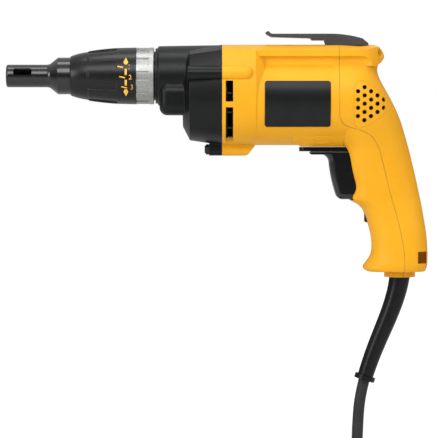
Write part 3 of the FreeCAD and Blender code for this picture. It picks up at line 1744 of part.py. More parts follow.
def housing_openings():
    bore_start = shifted(ON_MOTOR, x=-d.overrun)
    tools = [rod("motor_bore", bore_start, d.housing_bore, d.housing_bore_length + d.overrun)]
    tools.append(grip_cavity())
    room = d.trigger_room
    wide = d.trigger_half_width + room
    pocket_floor = trigger_bottom - room
    pocket_rear = d.trigger_back_foot + d.trigger_travel + room
    tools.append(box("trigger_pocket", (d.trigger_nose, -wide, pocket_floor),
                     (pocket_rear - d.trigger_nose, 2 * wide, shelf_z - pocket_floor)))
    snug = d.switch_half_width + d.slip_gap
    place = (d.switch_front - d.slip_gap, -snug, switch_top - d.switch_height - d.slip_gap)
    tools.append(box("switch_pocket", place, (d.switch_length + 2 * d.slip_gap, 2 * snug,
                                              d.switch_height + 2 * d.slip_gap)))
    pin = (d.lever_pivot, ZERO, shelf_z - d.overrun)
    tools.append(rod("lever_pin_hole", pin, d.lever_pin_radius + d.running_gap, 2 * d.overrun + d.slip_gap,
                     FreeCAD.Rotation()))
    # Cooling vents round the fan
    deep = d.barrel_radius + d.overrun - d.vent_inner
    for number, side in enumerate((-1, 1)):
        low = d.vent_inner if side > 0 else -d.vent_inner - deep
        for label, top, height in (("upper", d.vent_upper_top, d.vent_upper_height),
                                   ("lower", d.vent_lower_top, d.vent_lower_height)):
            place = shifted(ON_MOTOR, x=d.vent_back, y=low, z=top - height)
            tools.append(box(f"vent_{label}_{number}", place, (d.vent_width, deep, height)))
    # Round vent holes behind the motor, right across the cover
    for number, (column, row) in enumerate(VENT_HOLES):
        up = motor_z - d.hole_field_drop + d.hole_pitch / 2 * row
        place = (d.hole_field_x + d.hole_row_step * column, -d.barrel_radius, up)
        tools.append(along_y(f"vent_hole_{number}", place, d.hole_radius, 2 * d.barrel_radius))
    # Slots in the foot's sides
    for number, side in enumerate((-1, 1)):
        low = d.slot_web if side > 0 else -d.slot_web - d.grip_half_width
        tools.append(box(f"foot_slot_{number}", (d.slot_x, low, d.slot_z),
                         (d.slot_length, d.grip_half_width, d.slot_height)))
    for number, (across, up) in enumerate(screw_places()):
        place = shifted(ON_MOTOR, x=-d.overrun, y=across, z=up)
        tools.append(rod(f"housing_screw_hole_{number}", place, d.case_screw_radius,
                         d.case_screw_grip + 2 * d.overrun))
    for number, (place, seat, length) in enumerate(cover_screw_places()):
        start = shifted(place, x=seat - length - d.overrun)
        tools.append(rod(f"cover_screw_hole_{number}", start, d.cover_screw_radius, length + 2 * d.overrun))
        tools.append(rod(f"cover_head_hole_{number}", shifted(place, x=seat), d.cover_screw_hole_radius,
                         d.grip_depth))
    clamp_tip = d.clamp_x + d.clamp_thickness - d.clamp_screw_length
    for number, side in enumerate((-1, 1)):
        place = (clamp_tip - d.overrun, d.clamp_screw_side * side, d.clamp_z)
        tools.append(rod(f"clamp_post_hole_{number}", place, d.clamp_screw_radius + press_gap,
                         d.clamp_screw_length + 2 * d.overrun))
    for number, behind in enumerate((d.hook_peg_front, d.hook_peg_rear)):
        place = shifted(ON_MOTOR, x=behind, z=d.rail_top - d.hook_peg_length - d.slip_gap)
        tools.append(rod(f"hook_peg_hole_{number}", place, d.hook_peg_radius, d.hook_peg_length * 2,
                         FreeCAD.Rotation()))
    foot = (d.protector_x, ZERO, d.handle_foot - d.foot_boss_drop - d.overrun)
    tools.append(rod("protector_hole", foot, d.protector_top_radius + d.slip_gap,
                     d.protector_head_length + d.overrun * 2, FreeCAD.Rotation()))
    room = d.seam_gap
    half_y, half_z = d.lock_half_width + room, d.lock_half_height + room
    tools.append(box("lock_hole", (-d.grip_depth, -half_y, d.lock_z - half_z),
                     (d.grip_depth + d.lock_face + d.lock_length, 2 * half_y, 2 * half_z)))
    return tools


GRIP_REAR_SHARE = 0.545


def cover_screw_places():
    # Place on the screw's axis, seat of its head and length, along X
    sink = d.cover_screw_sink + d.cover_screw_head_length
    high = motor_z + d.rail_screw_rise
    seat = d.joint_x + d.rail_end - sink
    grip_seat = d.grip_depth * GRIP_REAR_SHARE - sink
    return [
        ((ZERO, d.rail_screw_side, high), seat, d.rail_screw_length),
        ((ZERO, -d.rail_screw_side, high), seat, d.rail_screw_length),
        ((ZERO, ZERO, d.grip_screw_z), grip_seat, d.grip_screw_length),
    ]


def seam_tool(name, shift):
    # Everything behind the seam, as one prism across the tool
    depth, height = float(d.grip_depth), float(d.handle_height)
    foot = float(d.handle_foot)
    points = [V(depth * x + shift, 0, foot + height * z + shift) for x, z in SEAM_SHARES]
    down = V(0, 0, -1)
    headings = [down]
    headings += [(after - before).normalize() for before, after in zip(points, points[2:])]
    headings.append(down)
    seam = []
    for number in range(len(points) - 1):
        seam += biarc(points[number], headings[number], points[number + 1], headings[number + 1])
    far = depth * 2
    high = points[0].z + height
    low = points[-1].z - height
    turns = [points[-1], V(points[-1].x, 0, low), V(far, 0, low), V(far, 0, high)]
    turns += [V(points[0].x, 0, high), points[0]]
    rest = [Part.LineSegment(start, end).toShape() for start, end in zip(turns, turns[1:])]
    face = Part.Face(Part.Wire(seam + rest))
    half = float(d.barrel_radius) * 2
    face.translate(V(0, -half, 0))
    return plain(name, face.extrude(V(0, 2 * half, 0)))


def housing_and_cover():
    openings = housing_openings()
    hollow = cut_in_turn("housing_hollow", housing_outside(), openings[:4])
    shell = cut("housing_shell", hollow, openings[4:])
    housing = cut("motor_housing", shell, [seam_tool("seam_front", 0.0)])
    cover = shared("handle_cover", [shell, seam_tool("seam_rear", float(d.seam_gap) / 2)])
    return [housing, cover]


def handle_cover_screws():
    screws = []
    for number, (place, seat, length) in enumerate(cover_screw_places()):
        screws.append(screw(f"cover_screw_{number}", place, seat, d.cover_screw_head_radius,
                            d.cover_screw_head_length, d.cover_screw_radius, length, 1))
    return group("handle_cover_screws", screws)


def side_labels():
    inner = d.belly_radius + d.label_lift
    sleeve = tube("label_sleeve", ON_MOTOR, d.label_back, d.label_back + d.label_length,
                  inner, inner + d.label_thickness)
    left, right = d.label_back, d.label_back + d.label_length
    low, high, corner = d.label_top - d.label_height, d.label_top, d.label_corner
    window = prism("label_window", ON_MOTOR, STAND_XZ, [
        (left + corner, low, corner),
        (right - corner, low),
        (right, low + corner, corner),
        (right, high - corner),
        (right - corner, high, corner),
        (left + corner, high),
        (left, high - corner, corner),
        (left, low + corner),
    ], 3 * d.belly_radius)
    return shared("side_labels", [sleeve, window])


def belt_hook():
    front = d.hook_front
    root = front + d.hook_leaf_length
    rear = front + d.hook_length
    top = d.hook_rise
    base = -d.overrun / 2
    rib = root - d.hook_rib_run
    curl = d.hook_curl_run
    under = top - d.hook_leaf
    place = shifted(ON_MOTOR, z=d.rail_top)
    blade = prism("hook_blade", place, STAND_XZ, [
        (front + curl, under),
        (rib, top - d.hook_leaf_root),
        (rib + d.hook_rib_drop, top - d.hook_leaf_root - d.hook_rib_drop),
        (root, top - d.hook_leaf_root - d.hook_rib_drop),
        (root + d.hook_rib_drop, base),
        (rear, base),
        (rear, d.hook_edge),
        (rear - d.hook_tail_run, d.hook_tail_rise),
        (root + d.hook_leg, top, d.hook_crown_radius),
        (front + curl, top),
        (front + curl / 2, top + d.hook_curl_rise, -d.hook_curl_run),
        (front, top + d.hook_curl_rise / 2),
        (front + curl / 4, top - d.hook_leaf / 4),
    ], 2 * d.hook_half_width)
    half = d.rail_half_width
    rise = d.rail_top - d.rail_shoulder
    arch = (half * half + rise * rise) / (2 * rise)
    saddle = rod("hook_saddle", shifted(place, x=front, z=-arch), arch, d.hook_length + d.overrun)
    leaf = cut("hook_leaf_solid", blade, [saddle])
    parts = [leaf]
    for number, behind in enumerate((d.hook_peg_front, d.hook_peg_rear)):
        peg = shifted(place, x=behind, z=-d.hook_peg_length)
        parts.append(rod(f"hook_peg_{number}", peg, d.hook_peg_radius - d.running_gap,
                         d.hook_peg_length + d.hook_edge, FreeCAD.Rotation()))
    return fused("belt_hook", parts)


# Switch, trigger, reversing lever and lock button

def switch_body():
    low = (d.switch_front, -d.switch_half_width, switch_top - d.switch_height)
    block = box("switch_block", low, (d.switch_length, 2 * d.switch_half_width, d.switch_height))
    soft = rounded("switch_case", block, d.switch_edge, lambda e: runs_along(e, V(0, 0, 1)))
    hole = rod("switch_hole", (d.switch_front - d.overrun, ZERO, plunger_z),
               d.plunger_radius + d.seam_gap, d.plunger_length + d.overrun)
    return cut("switch_body", soft, [hole])


def trigger():
    body = new_body("trigger_blade")
    sketch = new_sketch(body, "XZ_Plane")
    top, bottom, tongue = trigger_top, trigger_bottom, d.trigger_tongue
    draw(sketch, [
        (d.trigger_nose + tongue / 2, top - tongue, tongue / 2),
        (d.trigger_throat, top - tongue),
        (d.trigger_hook_x, top - d.trigger_hook_drop, -d.trigger_throat_radius),
        (d.trigger_toe_x - d.trigger_toe_run, bottom + d.trigger_toe_rise, d.trigger_bow),
        (d.trigger_toe_x, bottom, d.trigger_toe_radius),
        (d.trigger_back_foot, bottom),
        (d.trigger_back_top, top),
        (d.trigger_nose + tongue / 2, top),
        (d.trigger_nose, top - tongue / 2, tongue / 2),
    ])
    extrude(body, sketch, 2 * d.trigger_half_width, both_sides=True)
    front = float(d.trigger_toe_x)
    low = float(trigger_top) - float(d.trigger_tongue)
    blade = rounded("trigger_soft", body, d.trigger_edge,
                    lambda e: middle_of(e).x < front and middle_of(e).z < low and is_arc(e))
    back = d.trigger_back_top
    plunger = rod("trigger_plunger", (back - d.overrun, ZERO, plunger_z), d.plunger_radius,
                  d.plunger_length + d.overrun)
    return fused("trigger", [blade, plunger])


def reversing_lever():
    body = new_body("reversing_lever", (d.lever_pivot, ZERO, shelf_z - d.lever_gap - d.lever_thickness))
    sketch = new_sketch(body, "XY_Plane")
    tip = d.lever_tip - d.lever_pivot
    half, hub = d.lever_half_width, d.lever_hub_radius
    draw(sketch, [
        (tip + half, -half, half),
        (ZERO, -hub),
        (hub, ZERO, hub),
        (ZERO, hub, hub),
        (tip + half, half),
        (tip, ZERO, half),
    ])
    extrude(body, sketch, d.lever_thickness)
    pin = new_sketch(body, "XY_Plane")
    draw_circle(pin, ZERO, ZERO, d.lever_pin_radius)
    extrude(body, pin, d.lever_thickness + d.overrun)
    return body


def lock_button():
    low = (d.lock_face, -d.lock_half_width, d.lock_z - d.lock_half_height)
    block = box("lock_block", low, (d.lock_length, 2 * d.lock_half_width, 2 * d.lock_half_height))
    near = float(d.lock_face) + float(d.running_gap)
    return rounded("lock_button", block, d.lock_edge,
                   lambda e: runs_along(e, V(1, 0, 0)) or middle_of(e).x < near)


# Cord protector, clamp, cord, coil, tie and plug

def cord_protector():
    way = [V(*spot) for spot in PROTECTOR_WAY]
    tail = V(*CORD_WAY[0])
    onward = (tail - way[-1]).normalize()
    headings = [V(0, 0, -1)]
    headings += [(after - before).normalize() for before, after in zip(way, way[2:])]
    headings.append(onward)
    top, end = float(d.protector_top_radius), float(d.protector_end_radius)
    last = len(way) - 1
    rings = []
    for number, (spot, along) in enumerate(zip(way, headings)):
        radius = top + (end - top) * number / last
        rings.append(Part.Wire(Part.Circle(spot, along, radius).toShape()))
    sleeve = Part.makeLoft(rings, True)
    thick = float(d.protector_flange_length)
    flange = Part.makeCylinder(float(d.protector_flange_radius), thick, tail - onward * thick, onward)
    head = Part.makeCylinder(top, float(d.protector_head_length), way[0], V(0, 0, 1))
    return plain("cord_protector", sleeve.fuse([flange, head]))


def supply_lead():
    low = PROTECTOR_WAY[0][2] + float(d.protector_head_length)
    place = (d.protector_x, ZERO, size(low))
    length = d.grip_screw_z - d.grip_screw_boss - low - d.seam_gap
    return rod("supply_lead", place, d.cord_radius, length, FreeCAD.Rotation())


def cord_clamp():
    low = (d.clamp_x, -d.clamp_half_width, d.clamp_z - d.clamp_height / 2)
    bar = box("clamp_bar", low, (d.clamp_thickness, 2 * d.clamp_half_width, d.clamp_height))
    groove = rod("clamp_groove", (d.protector_x, ZERO, d.clamp_z - d.clamp_height), d.cord_radius + d.running_gap,
                 2 * d.clamp_height, FreeCAD.Rotation())
    tools = [groove]
    for number, side in enumerate((-1, 1)):
        place = (d.clamp_x - d.overrun, d.clamp_screw_side * side, d.clamp_z)
        tools.append(rod(f"clamp_hole_{number}", place, d.clamp_screw_radius + press_gap,
                         d.clamp_thickness + 2 * d.overrun))
    return cut("cord_clamp", bar, tools)


def cord_clamp_screws():
    screws = []
    for number, side in enumerate((-1, 1)):
        place = (ZERO, d.clamp_screw_side * side, d.clamp_z)
        screws.append(screw(f"clamp_screw_{number}", place, d.clamp_x + d.clamp_thickness, d.clamp_screw_head,
                            d.clamp_screw_head * 2 / 3, d.clamp_screw_radius, d.clamp_screw_length, 1))
    return group("cord_clamp_screws", screws)


CORNER_SHARE = 0.45


def power_cord():
    points = [V(*spot) for spot in CORD_WAY]
    radius = float(d.cord_radius)
    edges = []
    start = points[0]
    for before, corner, after in zip(points, points[1:], points[2:]):
        into = (corner - before).normalize()
        out = (after - corner).normalize()
        reach = CORNER_SHARE * min((corner - before).Length, (after - corner).Length)
        turn = into.getAngle(out)
        print(f"cord turn {math.degrees(turn):.1f} deg, radius {reach / math.tan(turn / 2):.1f}")
        entry = corner - into * reach
        leave = corner + out * reach
        edges.append(Part.LineSegment(start, entry).toShape())
        edges.append(bow(entry, corner, leave))
        start = leave
    edges.append(Part.LineSegment(start, points[-1]).toShape())
    path = Part.Wire(edges)
    ring = Part.Wire(Part.Circle(points[0], points[1] - points[0], radius).toShape())
    solid = path.makePipeShell([ring], True, False)
    share = solid.Volume / (math.pi * radius ** 2 * path.Length)
    print(f"free cord length {path.Length:.1f}, volume share {share:.4f}")
    return plain("power_cord", solid)


def coil_swing():
    # Radial way from the coil's middle radius to its outer turn
    return float(d.coil_turn_pitch) * float(d.coil_turns) / 4


def coil_centre():
    start = V(*CORD_WAY[-1])
    lead = 2 * float(d.cord_radius)
    return start + V(-lead, float(d.coil_mid_radius) + coil_swing(), 0)


def coil_way(share):
    # In on the lower layer, up where the spiral turns back, out on the upper layer
    turns = float(d.coil_turns)
    at = share * turns
    radius = float(d.coil_mid_radius) + coil_swing() - float(d.coil_turn_pitch) * min(at, turns - at)
    climb = min(max((at - turns / 2) / CLIMB_TURNS_SHARE + 0.5, 0.0), 1.0)
    height = float(d.coil_layer_pitch) * (1 - math.cos(math.pi * climb)) / 2
    angle = -math.pi / 2 - 2 * math.pi * at
    return coil_centre() + V(radius * math.cos(angle), radius * math.sin(angle), height)


CLIMB_TURNS_SHARE = 0.5


def cord_coil():
    turns = float(d.coil_turns)
    wire = float(d.cord_radius)
    shape, length = wound_tube(coil_way, int(turns * TURN_STEPS), wire)
    print(f"coil length {length:.0f}, least gap {least_gap(coil_way, turns, wire):.2f}")
    return plain("cord_coil", shape)


def cord_tie():
    # A flat band round the coil's bundle, on the side away from the plug
    centre = coil_centre()
    wire, gap, thick = float(d.cord_radius), float(d.tie_gap) * 2, float(d.tie_thickness)
    inner = float(d.coil_mid_radius) - coil_swing() - wire - gap
    outer = float(d.coil_mid_radius) + coil_swing() + wire + gap
    low, high = centre.z - wire - gap, centre.z + float(d.coil_layer_pitch) + wire + gap
    wide = float(d.tie_width)
    hole = Part.makeBox(outer - inner, wide * 2, high - low, V(centre.x - outer, centre.y - wide, low))
    band = Part.makeBox(outer - inner + 2 * thick, wide, high - low + 2 * thick,
                        V(centre.x - outer - thick, centre.y - wide / 2, low - thick))
    long_edges = [e for e in band.Edges if runs_along(e, V(0, 1, 0))]
    return plain("cord_tie", band.makeFillet(thick, long_edges).cut(hole))


def plug_place():
    end = coil_way(1.0)
    return V(end.x + 2 * float(d.cord_radius), end.y, end.z)


def plug_body():
    place = plug_place()
    neck = d.plug_neck_length
    face = neck + d.plug_length
    shoulder = face - d.plug_face_length
    grip = d.plug_radius - (d.plug_radius - d.plug_neck_radius) / 3
    corners = [
        (ZERO, ZERO),
        (face, ZERO),
        (face, d.plug_face_radius - d.plug_face_length / 4),
        (face - d.plug_face_length / 4, d.plug_face_radius, d.plug_face_length / 4),
        (shoulder, d.plug_face_radius),
        (shoulder - d.plug_face_length / 2, grip),
        (neck + d.plug_face_length, grip),
        (neck, d.plug_neck_radius),
        (ZERO, d.cord_radius + d.plug_face_length / 4),
    ]
    return turned("plug_body", (size(place.x), size(place.y), size(place.z)), corners)


def plug_blades():
    place = plug_place()
    face = place.x + float(d.plug_neck_length) + float(d.plug_length)
    blades = []
    for number, (side, height) in enumerate(((-1, d.blade_height), (1, d.blade_wide))):
        low = (size(face), place.y + side * d.blade_spacing / 2 - d.blade_thickness / 2, place.z - height / 2)
        blades.append(box(f"blade_{number}", low, (d.blade_length, d.blade_thickness, height)))
    return group("plug_blades", blades)


PIECES = [nosepiece(), depth_collar(), detent_ring(), neck_o_ring(), bit_holder(), bit_magnet(), spindle(),
          spindle_bush(), clutch_spring(), drive_gear(), gear_shaft(), gear_bush(), thrust_washer(),
          gear_case(), bearing_plate(), gear_case_screws(), armature_shaft(), armature_core(),
          armature_winding(), commutator(), cooling_fan(), stator_core(), field_coils(), fan_baffle(),
          end_frame(), handle_cover_screws(), side_labels(), belt_hook(), switch_body(), trigger(),
          reversing_lever(), lock_button(), cord_protector(), supply_lead(), cord_clamp(),
          cord_clamp_screws(), power_cord(), cord_coil(), cord_tie(), plug_body(), plug_blades()]
PIECES += ball_bearing("front", -d.front_bearing_width, d.front_bearing_width, d.front_journal_radius,
                       d.front_bearing_radius)
PIECES += ball_bearing("rear", d.shaft_rear - d.rear_bearing_width - d.slip_gap, d.rear_bearing_width,
                       d.rear_journal_radius, d.rear_bearing_radius)
PIECES += brush_gear()
PIECES += housing_and_cover()

doc.recompute()
os.makedirs("parts", exist_ok=True)
for piece in PIECES:
    piece.Label = piece.Name
    states = [state for state in piece.State if state in ("Invalid", "Error")]
    shape = piece.Shape
    if states or shape.isNull() or not shape.isValid():
        raise RuntimeError(f"{piece.Name} did not build: {piece.State}")
    shape.exportStep(f"parts/{piece.Name}.step")
print(f"{len(PIECES)} pieces written")
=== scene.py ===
# Looks of the drywall screwdriver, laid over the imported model
import math
import bpy
import bmesh
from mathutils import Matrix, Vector
from types import SimpleNamespace


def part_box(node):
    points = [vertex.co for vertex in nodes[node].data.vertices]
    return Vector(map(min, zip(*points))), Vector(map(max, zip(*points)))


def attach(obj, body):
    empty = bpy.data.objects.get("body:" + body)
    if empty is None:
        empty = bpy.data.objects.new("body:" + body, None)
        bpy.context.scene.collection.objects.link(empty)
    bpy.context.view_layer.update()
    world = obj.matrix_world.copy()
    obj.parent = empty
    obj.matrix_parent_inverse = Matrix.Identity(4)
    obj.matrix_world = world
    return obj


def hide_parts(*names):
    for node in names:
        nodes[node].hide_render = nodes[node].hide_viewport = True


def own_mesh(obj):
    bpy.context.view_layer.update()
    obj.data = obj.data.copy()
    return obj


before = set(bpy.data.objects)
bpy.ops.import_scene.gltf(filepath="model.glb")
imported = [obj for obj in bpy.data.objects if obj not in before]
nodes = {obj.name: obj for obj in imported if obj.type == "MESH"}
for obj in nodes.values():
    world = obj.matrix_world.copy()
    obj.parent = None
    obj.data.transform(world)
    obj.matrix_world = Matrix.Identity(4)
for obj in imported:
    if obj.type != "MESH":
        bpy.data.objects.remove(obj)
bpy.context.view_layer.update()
mm = 0.001
spindleZ = 105.7 * mm   # height of the spindle's axis
white = "#FFFFFF"
print("frame loaded,", len(nodes), "pieces from the model")


def linear(hexText):
    # sRGB hex to linear light
    channels = [int(hexText[at:at + 2], 16) / 255 for at in (1, 3, 5)]
    return tuple(c / 12.92 if c < 0.04045 else ((c + 0.055) / 1.055) ** 2.4 for c in channels) + (1.0,)


def addNode(tree, kind, settings=None, links=None):
    node = tree.nodes.new(kind)
    for name, value in (settings or {}).items():
        if isinstance(name, str) and hasattr(node, name):
            setattr(node, name, value)
        else:
            node.inputs[name].default_value = value
    for name, socket in (links or {}).items():
        tree.links.new(socket, node.inputs[name])
    return node


def addPiece(name, data):
    piece = bpy.data.objects.new(name, data)
    bpy.context.scene.collection.objects.link(piece)
    return piece


def plainMesh(piece, name):
    # The evaluated result as a mesh of its own
    bpy.context.view_layer.update()
    graph = bpy.context.evaluated_depsgraph_get()
    made = bpy.data.meshes.new_from_object(piece.evaluated_get(graph))
    made.name = name
    return made


def meshOf(data, name):
    # A curve or a text as a plain mesh
    holder = addPiece(name, data)
    mesh = plainMesh(holder, name)
    bpy.data.objects.remove(holder)
    return mesh


def drawLine(name, kind, points):
    line = bpy.data.curves.new(name, "CURVE")
    line.dimensions = "3D"
    spline = line.splines.new(kind)
    spline.points.add(len(points) - 1)
    for spot, place in zip(spline.points, points):
        spot.co = (*place, 1.0)
    return line, spline


def formPiece(form, name, finishNames):
    # A worked form as a piece, with its finishes in order
    mesh = bpy.data.meshes.new(name)
    form.to_mesh(mesh)
    form.free()
    for finish in finishNames:
        mesh.materials.append(finishes[finish])
    return addPiece(name, mesh)


socketKinds = {int: "NodeSocketInt", float: "NodeSocketFloat", Vector: "NodeSocketVector"}


def startTree(name, wanted):
    tree = bpy.data.node_groups.new(name, "GeometryNodeTree")
    tree.interface.new_socket("Geometry", in_out="OUTPUT", socket_type="NodeSocketGeometry")
    for title, value in wanted.items():
        tree.interface.new_socket(title, in_out="INPUT", socket_type=socketKinds[type(value)])
    return tree, addNode(tree, "NodeGroupInput").outputs


def runTree(tree, name, wanted):
    # The tree's result as a piece with a plain mesh
    holder = addPiece(name, bpy.data.meshes.new(name))
    modifier = holder.modifiers.new(name, "NODES")
    modifier.node_group = tree
    for socket in tree.interface.items_tree:
        if socket.in_out == "INPUT":
            modifier[socket.identifier] = wanted[socket.name]
    made = plainMesh(holder, name)
    holder.modifiers.clear()
    holder.data = made
    return holder


# Camera, floor and light

cameraPlan = {
    "distance": 1.9,               # metres, far enough for a nearly level side view
    "elevation": 2.5,              # degrees above the tool
    "pixels": 438,                 # the photograph's width
    "pixelSize": 0.71 * mm,        # at the tool's middle plane
    "aim": Vector((-125.7 * mm, 0.0, 4.3 * mm)),
    "sensor": 36.0,                # mm
    "clip": (0.05, 60.0),          # metres
}
studioPlan = {
    "floorZ": -201.9 * mm,
    "floorSize": 9.0,               # metres
    "floorColour": "#E6E6E4",
    # light from the room and what gloss sees of it: at the horizon, then overhead
    "roomLight": (0.42, 0.60),
    "roomGloss": (0.04, 0.90),
    "roomFull": 0.65,               # height on a unit dome where the overhead light is full
    "floorGlow": (0.26, 0.62),      # to the camera: near the tool, where the shadow lies, and far off
    "floorReach": (0.35, 1.1),      # metres from the middle: where near ends and far begins
    "floorGlossGlow": 0.05,
    # place, aim, width and height in metres, watts
    "lamps": {
        "topSoftbox": ((-0.25, -0.92, 0.72), (-0.12, 0.0, 0.06), 0.70, 0.44, 6.0),
        "leftSoftbox": ((-1.15, -0.85, 0.36), (-0.12, 0.0, 0.04), 0.40, 0.60, 7.0),
        "rightSoftbox": ((0.95, -0.70, 0.40), (-0.12, 0.0, 0.04), 0.40, 0.60, 2.6),
        "overheadSoftbox": ((-0.10, -0.06, 1.15), (-0.10, 0.0, 0.05), 0.80, 0.30, 4.5),
    },
}


def setCamera():
    plan = cameraPlan
    data = bpy.data.cameras.new("photoView")
    camera = addPiece("photoView", data)
    lift = math.radians(plan["elevation"])
    back = Vector((0.0, -math.cos(lift), math.sin(lift)))
    camera.location = plan["aim"] + back * plan["distance"]
    camera.rotation_mode = "QUATERNION"
    camera.rotation_quaternion = (-back).to_track_quat("-Z", "Y")
    data.sensor_width = plan["sensor"]
    data.lens = plan["sensor"] * plan["distance"] / (plan["pixels"] * plan["pixelSize"])
    data.clip_start, data.clip_end = plan["clip"]
    bpy.context.scene.camera = camera


def addShown(tree, path):
    # 1 for what the camera sees, also through something clear
    shown = addNode(tree, "ShaderNodeMath", {"operation": "MAXIMUM"},
                    {0: path.outputs["Is Camera Ray"], 1: path.outputs["Is Transmission Ray"]})
    return shown.outputs[0]


def setRoom():
    plan = studioPlan
    world = bpy.data.worlds.new("studio")
    bpy.context.scene.world = world
    world.use_nodes = True
    tree = world.node_tree
    tree.nodes.clear()
    path = addNode(tree, "ShaderNodeLightPath")
    place = addNode(tree, "ShaderNodeTexCoord")
    height = addNode(tree, "ShaderNodeSeparateXYZ", None, {0: place.outputs["Generated"]})
    # The room is brighter overhead, as under a softbox; the backdrop itself is plain white
    levels = []
    for low, high in (plan["roomLight"], plan["roomGloss"]):
        level = addNode(tree, "ShaderNodeMapRange",
                        {"interpolation_type": "SMOOTHSTEP", "From Min": 0.0, "From Max": plan["roomFull"],
                         "To Min": low, "To Max": high}, {"Value": height.outputs["Z"]})
        levels.append(level.outputs[0])
    glossed = addNode(tree, "ShaderNodeMix", None, {0: path.outputs["Is Glossy Ray"], 2: levels[0], 3: levels[1]})
    strength = addNode(tree, "ShaderNodeMix", {3: 1.0}, {0: addShown(tree, path), 2: glossed.outputs[0]})
    room = addNode(tree, "ShaderNodeBackground", {"Color": linear(white)}, {"Strength": strength.outputs[0]})
    addNode(tree, "ShaderNodeOutputWorld", None, {"Surface": room.outputs[0]})


def setLamps():
    for name, (place, aim, width, height, watts) in studioPlan["lamps"].items():
        lamp = bpy.data.lights.new(name, "AREA")
        lamp.shape = "RECTANGLE"
        lamp.size, lamp.size_y, lamp.energy = width, height, watts
        holder = addPiece(name, lamp)
        holder.location = place
        holder.rotation_mode = "QUATERNION"
        holder.rotation_quaternion = (Vector(aim) - Vector(place)).to_track_quat("-Z", "Y")


def setFloor():
    # Matt paper: white to the camera, with the shadow kept
    plan = studioPlan
    half, low = plan["floorSize"] / 2, plan["floorZ"]
    sheet = bpy.data.meshes.new("floor")
    corners = [(-half, -half, low), (half, -half, low), (half, half, low), (-half, half, low)]
    sheet.from_pydata(corners, [], [(0, 1, 2, 3)])
    floor = addPiece("floor", sheet)
    paper = bpy.data.materials.new("matt_paper_sweep")
    paper.use_nodes = True
    tree = paper.node_tree
    tree.nodes.clear()
    path = addNode(tree, "ShaderNodeLightPath")
    glossed = addNode(tree, "ShaderNodeMath", {"operation": "MULTIPLY", 1: plan["floorGlossGlow"]},
                      {0: path.outputs["Is Glossy Ray"]})
    place = addNode(tree, "ShaderNodeTexCoord")
    away = addNode(tree, "ShaderNodeVectorMath", {"operation": "LENGTH"}, {0: place.outputs["Object"]})
    nearGlow, farGlow = plan["floorGlow"]
    nearEnd, farStart = plan["floorReach"]
    rise = addNode(tree, "ShaderNodeMapRange",
                   {"From Min": nearEnd, "From Max": farStart, "To Min": nearGlow, "To Max": farGlow},
                   {"Value": away.outputs["Value"]})
    level = addNode(tree, "ShaderNodeMix", None,
                    {0: addShown(tree, path), 2: glossed.outputs[0], 3: rise.outputs[0]})
    matt = addNode(tree, "ShaderNodeBsdfDiffuse", {"Color": linear(plan["floorColour"])})
    glow = addNode(tree, "ShaderNodeEmission", {"Color": linear(white)}, {"Strength": level.outputs[0]})
    both = addNode(tree, "ShaderNodeAddShader", None, {0: matt.outputs[0], 1: glow.outputs[0]})
    addNode(tree, "ShaderNodeOutputMaterial", None, {"Surface": both.outputs[0]})
    sheet.materials.append(paper)


setCamera()
setRoom()
setLamps()
setFloor()
bpy.context.scene.view_settings.view_transform = "Standard"
print("camera, floor and light set")


# Finishes

noiseLow, noiseHigh = 0.3, 0.7      # most of a noise's values lie between these
edgeStart, edgeFull = 0.99, 0.86    # cosine between the eased and the real normal
waveTurn = 20                       # radians that the wave node turns in a unit


def startFinish(name, roughness, ior=1.5, metallic=0.0, gloss=0.5):
    material = bpy.data.materials.new(name)
    material.use_nodes = True
    tree = material.node_tree
    shader = tree.nodes["Principled BSDF"]
    shader.inputs["Roughness"].default_value = roughness
    shader.inputs["IOR"].default_value = ior
    shader.inputs["Metallic"].default_value = metallic
    shader.inputs["Specular IOR Level"].default_value = gloss
    place = addNode(tree, "ShaderNodeTexCoord").outputs["Object"]
    return SimpleNamespace(material=material, tree=tree, shader=shader, place=place)


def addNoise(surface, sizeMm, detail):
    noise = addNode(surface.tree, "ShaderNodeTexNoise", {"Scale": 1 / (sizeMm * mm), "Detail": detail},
                    {"Vector": surface.place})
    return noise.outputs[0]


def addSpread(surface, sizeMm):
    # Slow change over the surface, from 0 to 1
    spread = addNode(surface.tree, "ShaderNodeMapRange", {"From Min": noiseLow, "From Max": noiseHigh},
                     {"Value": addNoise(surface, sizeMm, detail=3.0)})
    return spread.outputs[0]


def addTones(surface, source, darker, lighter):
    tones = addNode(surface.tree, "ShaderNodeMix", {"data_type": "RGBA", 6: linear(darker), 7: linear(lighter)},
                    {0: source})
    return tones.outputs[2]


def addEdgeWearAndHighlight(surface, colour, wornAndHighlightColour, widthMm, amount):
    # Edges lighter, partly rubbed wear and partly a painted highlight: where the rounded normal leaves the real one
    tree = surface.tree
    eased = addNode(tree, "ShaderNodeBevel", {"samples": 6, "Radius": widthMm * mm})
    real = addNode(tree, "ShaderNodeNewGeometry")
    along = addNode(tree, "ShaderNodeVectorMath", {"operation": "DOT_PRODUCT"},
                    {0: eased.outputs[0], 1: real.outputs["Normal"]})
    edge = addNode(tree, "ShaderNodeMapRange", {"From Min": edgeStart, "From Max": edgeFull, "To Max": amount},
                   {"Value": along.outputs["Value"]})
    rubbedAndLit = addNode(tree, "ShaderNodeMix", {"data_type": "RGBA", 7: linear(wornAndHighlightColour)},
                     {0: edge.outputs[0], 6: colour})
    return rubbedAndLit.outputs[2], eased.outputs[0]


def setColour(surface, colour):
    surface.tree.links.new(colour, surface.shader.inputs["Base Color"])


def setBump(surface, source, heightMm, strength, under=None):
    links = {"Height": source}
    if under is not None:
        links["Normal"] = under
    bump = addNode(surface.tree, "ShaderNodeBump", {"Strength": strength, "Distance": heightMm * mm}, links)
    surface.tree.links.new(bump.outputs[0], surface.shader.inputs["Normal"])


